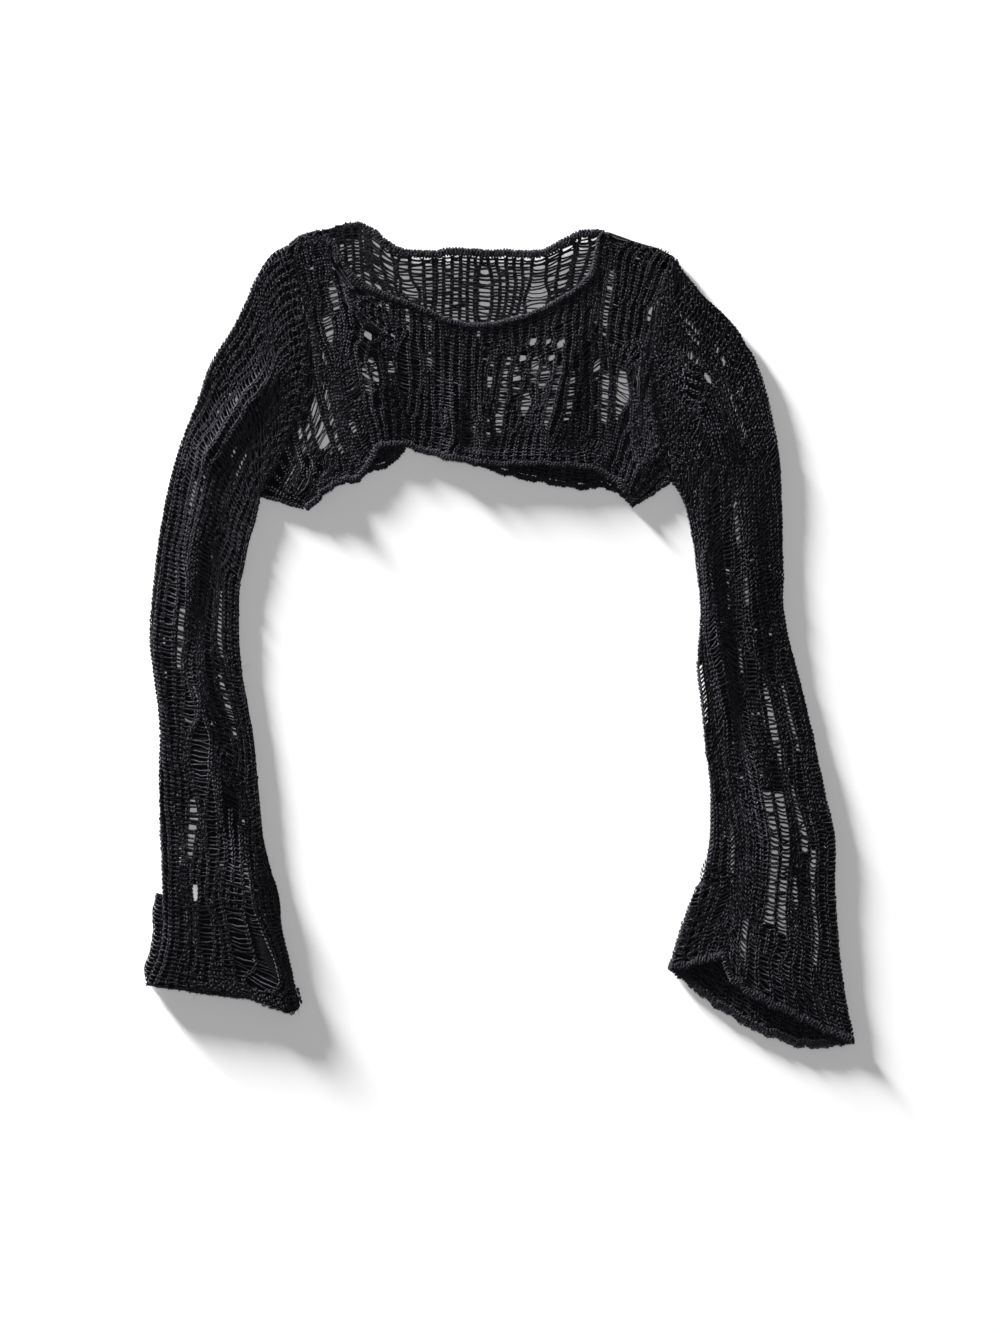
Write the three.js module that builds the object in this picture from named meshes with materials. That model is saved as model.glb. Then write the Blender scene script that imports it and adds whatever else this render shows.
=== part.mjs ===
// A cropped open-knit shrug with long sleeves, laid flat with its front up.
// Millimetres. +Y runs from the hem to the neck, +X to the right of the laid garment,
// +Z up out of its face. The origin is on the surface it lies on, under its middle.
import * as THREE from "three";

// ---- Driving sizes ----
const WALL = 2; // one layer of the knit
const SEAM_GAP = 0.3; // clear distance between two pieces at a seam
const NECK_GAP = 0.8; // the same down a stitch line, which meets the neckline at a slant
const SLEEVE_ASIDE = 0.45; // each sleeve stands this far off its armhole
const PRESSED = 4.8; // height of a sleeve pressed flat: two walls and the space between
const FRONT_BASE = WALL + SEAM_GAP; // the front lies on the back
const NECK_BACK = { width: 8, thick: 3.4 };
const NECK_FRONT = { width: 5, thick: 2.7 };
const HEM_FRONT = { width: 6, thick: 3 };
const HEM_BACK = { width: 6, thick: WALL };
const CUFF_EDGE = { width: 6, extra: 0.5, gap: 1 };
const TURN_THICK = 4.3; // the two layers of the left cuff that are turned under
const NARROWEST = 1; // an edging tapers to this width where it ends
const FOLD_RADIUS = 2.6; // how far the round of a pressed sleeve's side reaches in

// How finely each shape is divided.
const PANEL_ROWS = 6;
const SLEEVE_STATIONS = 22;
const SLEEVE_SHARES = [0.1, 0.2, 0.3, 0.4, 0.5, 0.6, 0.7, 0.8, 0.9];

// ---- Sleeves: one row for each line across the sleeve, from armhole to cuff ----
// out is the outer side, in the underarm side, bow how far the line bulges to +X,
// lift how high the sleeve lies on what is under it.
const LEFT_SLEEVE = [
  { outX: -212, outY: 388, inX: -240, inY: 140, bow: 30, lift: 0 },
  { outX: -228, outY: 378, inX: -241, inY: 137, bow: 25, lift: 0 },
  { outX: -244, outY: 352, inX: -242, inY: 133, bow: 19, lift: 0 },
  { outX: -264, outY: 310, inX: -242, inY: 126, bow: 12, lift: 0 },
  { outX: -286, outY: 274, inX: -243, inY: 117, bow: 6, lift: 0 },
  { outX: -301, outY: 232, inX: -245, inY: 107, bow: 2, lift: 0 },
  { outX: -316, outY: 194, inX: -249, inY: 93, bow: 0, lift: 0 },
  { outX: -328, outY: 154, inX: -254, inY: 69, bow: 0, lift: 0 },
  { outX: -338, outY: 104, inX: -257, inY: 42, bow: 0, lift: 0 },
  { outX: -345, outY: 44, inX: -258, inY: 6, bow: 0, lift: 0 },
  { outX: -348, outY: -6, inX: -256, inY: -28, bow: 0, lift: 0 },
  { outX: -342, outY: -56, inX: -251, inY: -70, bow: 0, lift: 0 },
  { outX: -338, outY: -96, inX: -244, inY: -111, bow: 0, lift: 0 },
  { outX: -339, outY: -144, inX: -240, inY: -156, bow: 0, lift: 0 },
  { outX: -338, outY: -188, inX: -236, inY: -196, bow: 0, lift: 0 },
  { outX: -336, outY: -226, inX: -229, inY: -232, bow: 0, lift: 3.4 },
  { outX: -335, outY: -262, inX: -220, inY: -261, bow: 0, lift: 4.6 },
  { outX: -334, outY: -292, inX: -215, inY: -296, bow: 0, lift: 4.6 },
  { outX: -338, outY: -318, inX: -209, inY: -326, bow: 0, lift: 4.6 },
  { outX: -351, outY: -348, inX: -198, inY: -366, bow: 0, lift: 4.6 },
];
const RIGHT_SLEEVE = [
  { outX: 172, outY: 378, inX: 170, inY: 153, bow: -19, lift: 0 },
  { outX: 188, outY: 362, inX: 172, inY: 150, bow: -16, lift: 0 },
  { outX: 204, outY: 342, inX: 174, inY: 147, bow: -13, lift: 0 },
  { outX: 229, outY: 318, inX: 178, inY: 141, bow: -9, lift: 0 },
  { outX: 247, outY: 292, inX: 182, inY: 133, bow: -5, lift: 0 },
  { outX: 262, outY: 256, inX: 186, inY: 122, bow: -2, lift: 0 },
  { outX: 272, outY: 214, inX: 190, inY: 108, bow: 0, lift: 0 },
  { outX: 279, outY: 172, inX: 194, inY: 86, bow: 0, lift: 0 },
  { outX: 281, outY: 124, inX: 198, inY: 59, bow: 0, lift: 0 },
  { outX: 282, outY: 70, inX: 201, inY: 28, bow: 0, lift: 0 },
  { outX: 284, outY: 22, inX: 200, inY: 0, bow: 0, lift: 0 },
  { outX: 292, outY: -18, inX: 198, inY: -32, bow: 0, lift: 0 },
  { outX: 303, outY: -60, inX: 202, inY: -70, bow: 0, lift: 0 },
  { outX: 312, outY: -100, inX: 206, inY: -114, bow: 0, lift: 0 },
  { outX: 322, outY: -148, inX: 210, inY: -160, bow: 0, lift: 0 },
  { outX: 334, outY: -204, inX: 209, inY: -204, bow: 0, lift: 0 },
  { outX: 334, outY: -246, inX: 202, inY: -238, bow: 0, lift: 0 },
  { outX: 337, outY: -296, inX: 190, inY: -270, bow: 0, lift: 0 },
  { outX: 342, outY: -346, inX: 180, inY: -298, bow: 0, lift: 0 },
  { outX: 353, outY: -405, inX: 170, inY: -332, bow: 0, lift: 0 },
];

// ---- Cuff mouths: how far past the last line each layer reaches, by share across ----
const LEFT_MOUTH = [
  { across: 0, near: 0, far: 0 },
  { across: 0.66, near: 1, far: 1 },
  { across: 0.75, near: 7, far: 7 },
  { across: 0.93, near: 15, far: 15 },
  { across: 1, near: 3, far: 3 },
];
const RIGHT_MOUTH = [
  { across: 0, near: 0, far: 0 },
  { across: 0.12, near: 3, far: 15 },
  { across: 0.3, near: -2, far: 29 },
  { across: 0.55, near: -5, far: 29 },
  { across: 0.66, near: -12, far: 23 },
  { across: 0.74, near: -29, far: 20 },
  { across: 0.92, near: -8, far: 7 },
  { across: 0.98, near: 0, far: 0 },
  { across: 1, near: 0, far: 0 },
];

// ---- Body: one row for each line of stitches from its top to the hem ----
// The first and last lines start on an armhole, at a share of it from the shoulder down.
const FRONT_LEFT_ARM = [
  { share: 1, hemX: -190, hemY: 126 },
  { share: 0.8, hemX: -179, hemY: 135 },
  { share: 0.6, hemX: -169, hemY: 145 },
  { share: 0.4, hemX: -157, hemY: 151 },
  { share: 0.2, hemX: -145, hemY: 153 },
  { share: 0, hemX: -137, hemY: 158 },
];
const FRONT_LINES = [
  { topX: -178, topY: 405, hemX: -130, hemY: 168 },
  { topX: -166, topY: 396, hemX: -122, hemY: 183 },
  { topX: -154, topY: 369, hemX: -113, hemY: 187 },
  { topX: -135, topY: 351, hemX: -104, hemY: 188 },
  { topX: -108, topY: 339, hemX: -96, hemY: 188 },
  { topX: -79, topY: 328, hemX: -75, hemY: 181 },
  { topX: -49, topY: 315, hemX: -49, hemY: 174 },
  { topX: -19, topY: 311, hemX: -25, hemY: 170 },
  { topX: 11, topY: 316, hemX: -7, hemY: 168 },
  { topX: 38, topY: 325, hemX: 16, hemY: 168 },
  { topX: 63, topY: 338, hemX: 42, hemY: 168 },
  { topX: 83, topY: 352, hemX: 63, hemY: 167 },
  { topX: 95, topY: 368, hemX: 76, hemY: 166 },
  { topX: 97, topY: 380, hemX: 86, hemY: 165 },
  { topX: 104, topY: 402, hemX: 95, hemY: 163 },
  { topX: 139, topY: 391, hemX: 101, hemY: 160 },
];
const FRONT_RIGHT_ARM = [
  { share: 0, hemX: 106, hemY: 158 },
  { share: 0.2, hemX: 111, hemY: 154 },
  { share: 0.4, hemX: 118, hemY: 148 },
  { share: 0.6, hemX: 124, hemY: 141 },
  { share: 0.8, hemX: 129, hemY: 135 },
  { share: 1, hemX: 132, hemY: 130 },
];
const BACK_LEFT_ARM = [
  { share: 1, hemX: -191, hemY: 125 },
  { share: 0.8, hemX: -180, hemY: 134 },
  { share: 0.6, hemX: -168, hemY: 147 },
  { share: 0.4, hemX: -156, hemY: 150 },
  { share: 0.2, hemX: -145, hemY: 152 },
  { share: 0, hemX: -138, hemY: 156 },
];
const BACK_LINES = [
  { topX: -166, topY: 407, hemX: -130, hemY: 162 },
  { topX: -143, topY: 412, hemX: -117, hemY: 166 },
  { topX: -129, topY: 407, hemX: -109, hemY: 169 },
  { topX: -109, topY: 391, hemX: -100, hemY: 179 },
  { topX: -96, topY: 386, hemX: -91, hemY: 190 },
  { topX: -69, topY: 384, hemX: -69, hemY: 185 },
  { topX: -44, topY: 387, hemX: -46, hemY: 177 },
  { topX: -19, topY: 385, hemX: -25, hemY: 170 },
  { topX: 9, topY: 385, hemX: -3, hemY: 162 },
  { topX: 35, topY: 384, hemX: 19, hemY: 156 },
  { topX: 51, topY: 388, hemX: 35, hemY: 153 },
  { topX: 63, topY: 395, hemX: 47, hemY: 151 },
  { topX: 79, topY: 403, hemX: 61, hemY: 148 },
  { topX: 93, topY: 405, hemX: 77, hemY: 146 },
  { topX: 105, topY: 403, hemX: 90, hemY: 145 },
  { topX: 139, topY: 391, hemX: 99, hemY: 147 },
];
const BACK_RIGHT_ARM = [
  { share: 0, hemX: 105, hemY: 147 },
  { share: 0.2, hemX: 112, hemY: 144 },
  { share: 0.4, hemX: 119, hemY: 140 },
  { share: 0.6, hemX: 125, hemY: 136 },
  { share: 0.8, hemX: 130, hemY: 131 },
  { share: 1, hemX: 133, hemY: 127 },
];
// The neck opening runs between these two lines, on the front and on the back.
const NECK = { from: 7, to: 20 };

// ---- The stretch of the left cuff that is turned under, one row across it each ----
const LEFT_TURN = [
  { outX: -343, outY: -263, inX: -237, inY: -290 },
  { outX: -346, outY: -279, inX: -237, inY: -305 },
  { outX: -345, outY: -296, inX: -241, inY: -320 },
  { outX: -349, outY: -318, inX: -245, inY: -340 },
  { outX: -354, outY: -333, inX: -247, inY: -351 },
  { outX: -352, outY: -347, inX: -249, inY: -358 },
];

// ---- Largest folds: long low swells of the upper layer ----
// x, y is a fold's middle, turn its direction from +X in degrees.
const FRONT_FOLDS = [
  { x: -182, y: 158, turn: -52, length: 60, width: 10, height: 4 }, // into the left corner
  { x: -133, y: 265, turn: -70, length: 150, width: 15, height: 4.5 }, // down the left front
  { x: -46, y: 215, turn: 88, length: 90, width: 9, height: 3 }, // under the neckline
  { x: -18, y: 205, turn: 93, length: 70, width: 8, height: 2.2 },
  { x: 20, y: 176, turn: -1, length: 170, width: 9, height: 2.5 }, // the roll above the hem
  { x: 60, y: 245, turn: 80, length: 130, width: 20, height: 3.5 }, // the loose right front
  { x: 150, y: 240, turn: -72, length: 110, width: 12, height: 4 }, // by the right armhole
  { x: 140, y: 165, turn: 48, length: 70, width: 9, height: 3.5 }, // into the right corner
];
const LEFT_SLEEVE_FOLDS = [
  { x: -262, y: 215, turn: 52, length: 130, width: 13, height: 3.5 },
  { x: -305, y: 80, turn: 80, length: 190, width: 12, height: 3 },
  { x: -292, y: -100, turn: -82, length: 170, width: 13, height: 3.5 },
  { x: -262, y: -200, turn: -75, length: 150, width: 10, height: 3 },
  { x: -228, y: -325, turn: -62, length: 90, width: 9, height: 3.5 },
];
const RIGHT_SLEEVE_FOLDS = [
  { x: 205, y: 225, turn: -62, length: 110, width: 13, height: 4 },
  { x: 216, y: 0, turn: -83, length: 230, width: 8, height: 4.5 },
  { x: 252, y: 60, turn: -88, length: 200, width: 12, height: 3 },
  { x: 268, y: -180, turn: -78, length: 190, width: 14, height: 3 },
  { x: 252, y: -345, turn: -22, length: 120, width: 34, height: 3 }, // the open cuff mouth
];
const NO_FOLDS = [];

// ---- Colours ----
const YARN = { color: 0x15161a, roughness: 0.95, metalness: 0 };
const EDGE_YARN = { color: 0x101114, roughness: 0.95, metalness: 0 };

// ---- Reading the tables ----
// The value of a column at a place between rows, on a smooth curve through them.
function smooth(rows, place, column) {
  const last = rows.length - 1;
  const index = Math.max(0, Math.min(Math.floor(place), last - 1));
  const at = (k) => rows[Math.max(0, Math.min(k, last))][column];
  if (place > last) {
    return at(last) + (place - last) * (at(last) - at(last - 1));
  }
  const f = place - index;
  const [a, b, c, d] = [at(index - 1), at(index), at(index + 1), at(index + 2)];
  const square = 2 * a - 5 * b + 4 * c - d;
  const cube = 3 * b - a - 3 * c + d;
  return 0.5 * (2 * b + (c - a) * f + square * f * f + cube * f * f * f);
}

// The value of a column at a place given by another column, on straight lines.
function linear(rows, key, place, column) {
  const next = Math.max(1, rows.findIndex((row) => row[key] >= place));
  const [a, b] = [rows[next - 1], rows[next]];
  return THREE.MathUtils.mapLinear(place, a[key], b[key], a[column], b[column]);
}

function ramp(value, from, to) {
  const f = THREE.MathUtils.clamp((value - from) / (to - from), 0, 1);
  return f * f * (3 - 2 * f);
}

// How much the folds of a table raise the cloth at x, y.
function foldLift(folds, x, y) {
  let lift = 0;
  for (const fold of folds) {
    const turn = THREE.MathUtils.degToRad(fold.turn);
    const [dx, dy] = [x - fold.x, y - fold.y];
    const along = (dx * Math.cos(turn) + dy * Math.sin(turn)) / (fold.length / 2);
    const aside = (dy * Math.cos(turn) - dx * Math.sin(turn)) / fold.width;
    lift += fold.height * Math.exp(-(along ** 4) - aside * aside);
  }
  return lift;
}

// ---- Points of the garment ----
// A point of a sleeve, at a place along its table and a share across, outer side first.
function sleevePoint(rows, place, across) {
  const pick = (column) => smooth(rows, place, column);
  const x = THREE.MathUtils.lerp(pick("outX"), pick("inX"), across);
  const y = THREE.MathUtils.lerp(pick("outY"), pick("inY"), across);
  const bow = place > rows.length - 1 ? 0 : pick("bow");
  return [x + bow * Math.sin(Math.PI * across), y];
}

function sleeveWidth(rows, place) {
  const [ax, ay] = sleevePoint(rows, place, 0);
  const [bx, by] = sleevePoint(rows, place, 1);
  return Math.hypot(bx - ax, by - ay);
}

// The lines of a body panel, with those that start on an armhole given their tops.
function panelLines(leftArm, lines, rightArm) {
  const started = (sleeve) => (row) => {
    const [topX, topY] = sleevePoint(sleeve, 0, row.share);
    return { ...row, topX, topY };
  };
  return [...leftArm.map(started(LEFT_SLEEVE)), ...lines, ...rightArm.map(started(RIGHT_SLEEVE))];
}

// The top of a panel line. Between two armhole lines it stays on the armhole itself.
function panelTop(rows, place) {
  const low = rows[Math.floor(place)];
  const high = rows[Math.ceil(place)];
  if (low.share === undefined || high.share === undefined) {
    return [smooth(rows, place, "topX"), smooth(rows, place, "topY")];
  }
  const sleeve = place < rows.length / 2 ? LEFT_SLEEVE : RIGHT_SLEEVE;
  const share = THREE.MathUtils.lerp(low.share, high.share, place - Math.floor(place));
  return sleevePoint(sleeve, 0, share);
}

function panelHem(rows, place) {
  return [smooth(rows, place, "hemX"), smooth(rows, place, "hemY")];
}

// A point of a panel, millimetres down its line from the top, or up from the hem if below 0.
function panelPoint(rows, place, distance, fromHem) {
  const [tx, ty] = panelTop(rows, place);
  const [hx, hy] = panelHem(rows, place);
  const length = Math.hypot(hx - tx, hy - ty);
  const share = fromHem ? 1 - distance / length : distance / length;
  return [THREE.MathUtils.lerp(tx, hx, share), THREE.MathUtils.lerp(ty, hy, share)];
}

// ---- Closed bodies ----
// A wall over a grid of columns and rows. pointAt gives a point of its top or underside.
function wall(columns, rows, pointAt) {
  const corners = [];
  const faces = [];
  const skin = (columns + 1) * (rows + 1);
  const id = (under, i, j) => under * skin + i * (rows + 1) + j;
  const quad = (a, b, c, d) => faces.push(a, b, c, a, c, d);
  for (const under of [0, 1]) {
    for (let i = 0; i <= columns; i += 1) {
      for (let j = 0; j <= rows; j += 1) {
        corners.push(...pointAt(i, j, under === 1));
      }
    }
  }
  for (let i = 0; i < columns; i += 1) {
    for (let j = 0; j < rows; j += 1) {
      quad(id(0, i, j), id(0, i, j + 1), id(0, i + 1, j + 1), id(0, i + 1, j));
      quad(id(1, i, j), id(1, i + 1, j), id(1, i + 1, j + 1), id(1, i, j + 1));
    }
    quad(id(0, i, 0), id(0, i + 1, 0), id(1, i + 1, 0), id(1, i, 0));
    quad(id(0, i + 1, rows), id(0, i, rows), id(1, i, rows), id(1, i + 1, rows));
  }
  for (let j = 0; j < rows; j += 1) {
    quad(id(0, 0, j + 1), id(0, 0, j), id(1, 0, j), id(1, 0, j + 1));
    quad(id(0, columns, j), id(0, columns, j + 1), id(1, columns, j + 1), id(1, columns, j));
  }
  return facingOut(corners, faces);
}

// A hollow tube, open at both ends. pointAt gives a point of its outer or inner skin.
function tube(stations, around, pointAt) {
  const corners = [];
  const faces = [];
  const skin = (stations + 1) * around;
  const id = (inner, k, j) => inner * skin + k * around + (j % around);
  const quad = (a, b, c, d) => faces.push(a, b, c, a, c, d);
  for (const inner of [0, 1]) {
    for (let k = 0; k <= stations; k += 1) {
      for (let j = 0; j < around; j += 1) {
        corners.push(...pointAt(k, j, inner === 1));
      }
    }
  }
  for (let j = 0; j < around; j += 1) {
    for (let k = 0; k < stations; k += 1) {
      quad(id(0, k, j), id(0, k, j + 1), id(0, k + 1, j + 1), id(0, k + 1, j));
      quad(id(1, k, j), id(1, k + 1, j), id(1, k + 1, j + 1), id(1, k, j + 1));
    }
    quad(id(0, 0, j + 1), id(0, 0, j), id(1, 0, j), id(1, 0, j + 1));
    quad(id(0, stations, j), id(0, stations, j + 1), id(1, stations, j + 1), id(1, stations, j));
  }
  return facingOut(corners, faces);
}

function facingOut(corners, faces) {
  const [a, b, c] = [new THREE.Vector3(), new THREE.Vector3(), new THREE.Vector3()];
  let volume = 0;
  for (let f = 0; f < faces.length; f += 3) {
    a.fromArray(corners, faces[f] * 3);
    b.fromArray(corners, faces[f + 1] * 3);
    c.fromArray(corners, faces[f + 2] * 3);
    volume += a.dot(b.cross(c));
  }
  const geometry = new THREE.BufferGeometry();
  geometry.setAttribute("position", new THREE.Float32BufferAttribute(corners, 3));
  geometry.setIndex(volume > 0 ? faces : faces.reverse());
  geometry.computeVertexNormals();
  return geometry;
}

function named(name, geometry, yarn) {
  const mesh = new THREE.Mesh(geometry, new THREE.MeshStandardMaterial(yarn));
  mesh.name = name;
  return mesh;
}

// ---- Body pieces ----
// Each edging is full width along the neck and tapers out at the two neck points.
function neckWidth(edge, place) {
  const full = ramp(place, NECK.from, NECK.from + 1) * ramp(NECK.to - place, 0, 1);
  return THREE.MathUtils.lerp(NARROWEST, edge.width, full);
}

function inNeck(place) {
  return place >= NECK.from && place <= NECK.to;
}

// A panel's wall, between its neck edging and its hem edging.
function panel(rows, base, folds, neckEdge, hemEdge) {
  const columns = 2 * (rows.length - 1);
  return wall(columns, PANEL_ROWS, (i, j, under) => {
    const place = i / 2;
    const top = inNeck(place) ? neckWidth(neckEdge, place) + NECK_GAP : 0;
    const [ax, ay] = panelPoint(rows, place, top, false);
    const [bx, by] = panelPoint(rows, place, hemEdge.width + SEAM_GAP, true);
    const x = THREE.MathUtils.lerp(ax, bx, j / PANEL_ROWS);
    const y = THREE.MathUtils.lerp(ay, by, j / PANEL_ROWS);
    const z = base + foldLift(folds, x, y) + (under ? 0 : WALL);
    return [x, y, z];
  });
}

function neckEdging(rows, base, folds, edge) {
  const columns = 2 * (NECK.to - NECK.from);
  return wall(columns, 2, (i, j, under) => {
    const place = NECK.from + i / 2;
    const [x, y] = panelPoint(rows, place, (neckWidth(edge, place) * j) / 2, false);
    const full = ramp(place, NECK.from + 1, NECK.from + 3) * ramp(NECK.to - place, 1, 3);
    const crown = j === 1 ? edge.thick - WALL : 0;
    return [x, y, base + foldLift(folds, x, y) + (under ? 0 : WALL + crown * full)];
  });
}

function hemEdging(rows, base, folds, edge) {
  const columns = 2 * (rows.length - 1);
  const steps = edge.thick > WALL ? 2 : 1;
  return wall(columns, steps, (i, j, under) => {
    const [x, y] = panelPoint(rows, i / 2, (edge.width * j) / steps, true);
    const crown = steps === 2 && j === 1 ? edge.thick - WALL : 0;
    return [x, y, base + foldLift(folds, x, y) + (under ? 0 : WALL + crown)];
  });
}

// ---- Sleeves ----
// The ring of a pressed sleeve: up over the near layer, and back under along the far one.
function ringPlaces() {
  const round = ["start", ...SLEEVE_SHARES, "end"];
  const near = round.map((share) => ({ share, layer: "near" }));
  const far = [...round].reverse().map((share) => ({ share, layer: "far" }));
  return [{ share: 0, layer: "side" }, ...near, { share: 1, layer: "side" }, ...far];
}

const RING = ringPlaces();

// Where a ring place lies across the sleeve, on the outer skin or a wall further in.
function shareAcross(ringPlace, width, inner) {
  const inset = inner ? WALL : 0;
  const shares = { start: FOLD_RADIUS + inset / 2, end: width - FOLD_RADIUS - inset / 2 };
  if (ringPlace.layer === "side") {
    return ringPlace.share === 0 ? inset / width : 1 - inset / width;
  }
  const listed = shares[ringPlace.share];
  return listed === undefined ? ringPlace.share : listed / width;
}

function sleeveSkin(sleeve, place, ringPlace, inner, extra) {
  const { rows, folds, aside } = sleeve;
  const across = shareAcross(ringPlace, sleeveWidth(rows, Math.min(place, rows.length - 1)), inner);
  const [x, y] = sleevePoint(rows, place, across);
  const lift = smooth(rows, Math.min(place, rows.length - 1), "lift");
  const base = THREE.MathUtils.clamp(lift, 0, TURN_THICK + SEAM_GAP) * (1 - ramp(across, 0.84, 1));
  const crown = foldLift(folds, x, y);
  const heights = {
    near: base + PRESSED + crown + extra - (inner ? WALL + extra : 0),
    far: base + (inner ? WALL + extra : 0),
    side: base + PRESSED / 2 + crown / 3,
  };
  return [x + aside, y, heights[ringPlace.layer]];
}

// The place along the table where a layer ends, less a distance kept for the edging.
function mouthPlace(sleeve, ringPlace, across, shorter) {
  const column = ringPlace.layer === "far" ? "far" : "near";
  const reach = linear(sleeve.mouth, "across", across, column) - shorter;
  const last = sleeve.rows.length - 1;
  const [ax, ay] = sleevePoint(sleeve.rows, last - 1, across);
  const [bx, by] = sleevePoint(sleeve.rows, last, across);
  return last + reach / Math.hypot(bx - ax, by - ay);
}

// A stretch of a sleeve, from the armhole or a distance before the mouth, to the mouth.
function sleeveBody(sleeve, stations, from, shorter, extra) {
  return tube(stations, RING.length, (k, j, inner) => {
    const ringPlace = RING[j];
    const width = sleeveWidth(sleeve.rows, sleeve.rows.length - 1);
    const across = shareAcross(ringPlace, width, inner);
    const start = from === undefined ? 0 : mouthPlace(sleeve, ringPlace, across, from);
    const end = mouthPlace(sleeve, ringPlace, across, shorter);
    const place = THREE.MathUtils.lerp(start, end, k / stations);
    return sleeveSkin(sleeve, place, ringPlace, inner, extra);
  });
}

// The turned-under stretch of the left cuff, between two places of its table.
function turnedCuff(from, to, rows) {
  const columns = 6;
  return wall(columns, rows, (i, j, under) => {
    const place = THREE.MathUtils.lerp(from, to, j / rows);
    const pick = (column) => smooth(LEFT_TURN, place, column);
    const x = THREE.MathUtils.lerp(pick("outX"), pick("inX"), i / columns);
    const y = THREE.MathUtils.lerp(pick("outY"), pick("inY"), i / columns);
    const atSide = i === 0 || i === columns;
    return [x, y, under ? 0 : TURN_THICK - (atSide ? 1.2 : 0)];
  });
}

// ---- The garment ----
const leftSleeve = {
  rows: LEFT_SLEEVE,
  mouth: LEFT_MOUTH,
  folds: LEFT_SLEEVE_FOLDS,
  aside: -SLEEVE_ASIDE,
};
const rightSleeve = {
  rows: RIGHT_SLEEVE,
  mouth: RIGHT_MOUTH,
  folds: RIGHT_SLEEVE_FOLDS,
  aside: SLEEVE_ASIDE,
};
const frontRows = panelLines(FRONT_LEFT_ARM, FRONT_LINES, FRONT_RIGHT_ARM);
const backRows = panelLines(BACK_LEFT_ARM, BACK_LINES, BACK_RIGHT_ARM);
const EDGE_STATIONS = 2;
const TURN_EDGE_PLACE = 0.4; // the bound edge takes this much of the turned stretch's table
const TURN_SEAM = 0.02;

const shrug = new THREE.Group();
shrug.add(
  named("back_panel", panel(backRows, 0, NO_FOLDS, NECK_BACK, HEM_BACK), YARN),
  named("front_panel", panel(frontRows, FRONT_BASE, FRONT_FOLDS, NECK_FRONT, HEM_FRONT), YARN),
  named("sleeve_left", sleeveBody(leftSleeve, SLEEVE_STATIONS, undefined, 0, 0), YARN),
  named(
    "sleeve_right",
    sleeveBody(rightSleeve, SLEEVE_STATIONS, undefined, CUFF_EDGE.width + CUFF_EDGE.gap, 0),
    YARN,
  ),
  named("neck_edge_back", neckEdging(backRows, 0, NO_FOLDS, NECK_BACK), EDGE_YARN),
  named("neck_edge_front", neckEdging(frontRows, FRONT_BASE, FRONT_FOLDS, NECK_FRONT), EDGE_YARN),
  named("hem_edge_back", hemEdging(backRows, 0, NO_FOLDS, HEM_BACK), EDGE_YARN),
  named("hem_edge_front", hemEdging(frontRows, FRONT_BASE, FRONT_FOLDS, HEM_FRONT), EDGE_YARN),
  named(
    "cuff_edge_right",
    sleeveBody(rightSleeve, EDGE_STATIONS, CUFF_EDGE.width, 0, CUFF_EDGE.extra),
    EDGE_YARN,
  ),
  named("cuff_turn_left", turnedCuff(TURN_EDGE_PLACE + TURN_SEAM, LEFT_TURN.length - 1, 8), YARN),
  named("cuff_edge_left", turnedCuff(0, TURN_EDGE_PLACE, 2), EDGE_YARN),
);

export default shrug;
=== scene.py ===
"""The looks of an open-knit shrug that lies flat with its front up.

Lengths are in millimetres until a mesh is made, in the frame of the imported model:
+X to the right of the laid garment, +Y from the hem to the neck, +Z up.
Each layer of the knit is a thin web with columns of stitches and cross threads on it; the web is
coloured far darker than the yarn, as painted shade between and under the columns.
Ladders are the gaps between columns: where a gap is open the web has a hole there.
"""

import math

import bpy
import numpy as np
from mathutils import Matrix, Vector


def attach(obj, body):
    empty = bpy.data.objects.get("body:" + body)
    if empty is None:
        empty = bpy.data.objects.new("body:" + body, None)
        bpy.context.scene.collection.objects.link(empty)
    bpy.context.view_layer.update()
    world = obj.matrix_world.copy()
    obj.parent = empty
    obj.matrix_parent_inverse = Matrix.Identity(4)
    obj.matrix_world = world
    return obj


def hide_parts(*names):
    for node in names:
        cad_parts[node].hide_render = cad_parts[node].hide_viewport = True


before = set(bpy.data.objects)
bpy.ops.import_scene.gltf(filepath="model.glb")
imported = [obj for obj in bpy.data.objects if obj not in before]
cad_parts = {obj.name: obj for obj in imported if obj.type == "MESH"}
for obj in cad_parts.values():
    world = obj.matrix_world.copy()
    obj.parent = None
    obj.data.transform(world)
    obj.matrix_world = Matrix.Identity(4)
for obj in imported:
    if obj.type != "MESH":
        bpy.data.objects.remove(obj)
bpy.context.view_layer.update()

MM = 0.001
SEED = 20
RANDOM = np.random.default_rng(SEED)

# ---- Sizes shared with the frame ----
WALL = 2.0
SEAM_GAP = 0.3
PRESSED = 4.8
FRONT_BASE = WALL + SEAM_GAP
SLEEVE_ASIDE = 0.45
TURN_THICK = 4.3
TURN_RISE = SEAM_GAP + WALL
TURN_SHARE = 0.022

# ---- Sizes of the knit ----
WALE_WIDTH = 3.9
BODY_ROW = 3.3
SLEEVE_ROW = 4.3
WEB_THICK = 0.35
SQUEEZED = 0.5
SUNK = 0.75
RIB = 3.0
LINE_STEP = 17.0
FRONT_COLUMNS, BACK_COLUMNS, SLEEVE_COLUMNS, TURN_COLUMNS = 45, 52, 27, 24
BODY_STATIONS, SLEEVE_STATIONS, TURN_STATIONS = 100, 140, 26
ARMHOLE_SHARE = 0.47
LEAST_RUN = 5
NARROWEST_OPEN = 1.8
# How many columns more a closed gap gets: the number, and the gap's width from and to.
EXTRA_COLUMNS = [(1, 11, 19), (2, 19, 27), (3, 27, 35), (4, 35, 99)]
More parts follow.
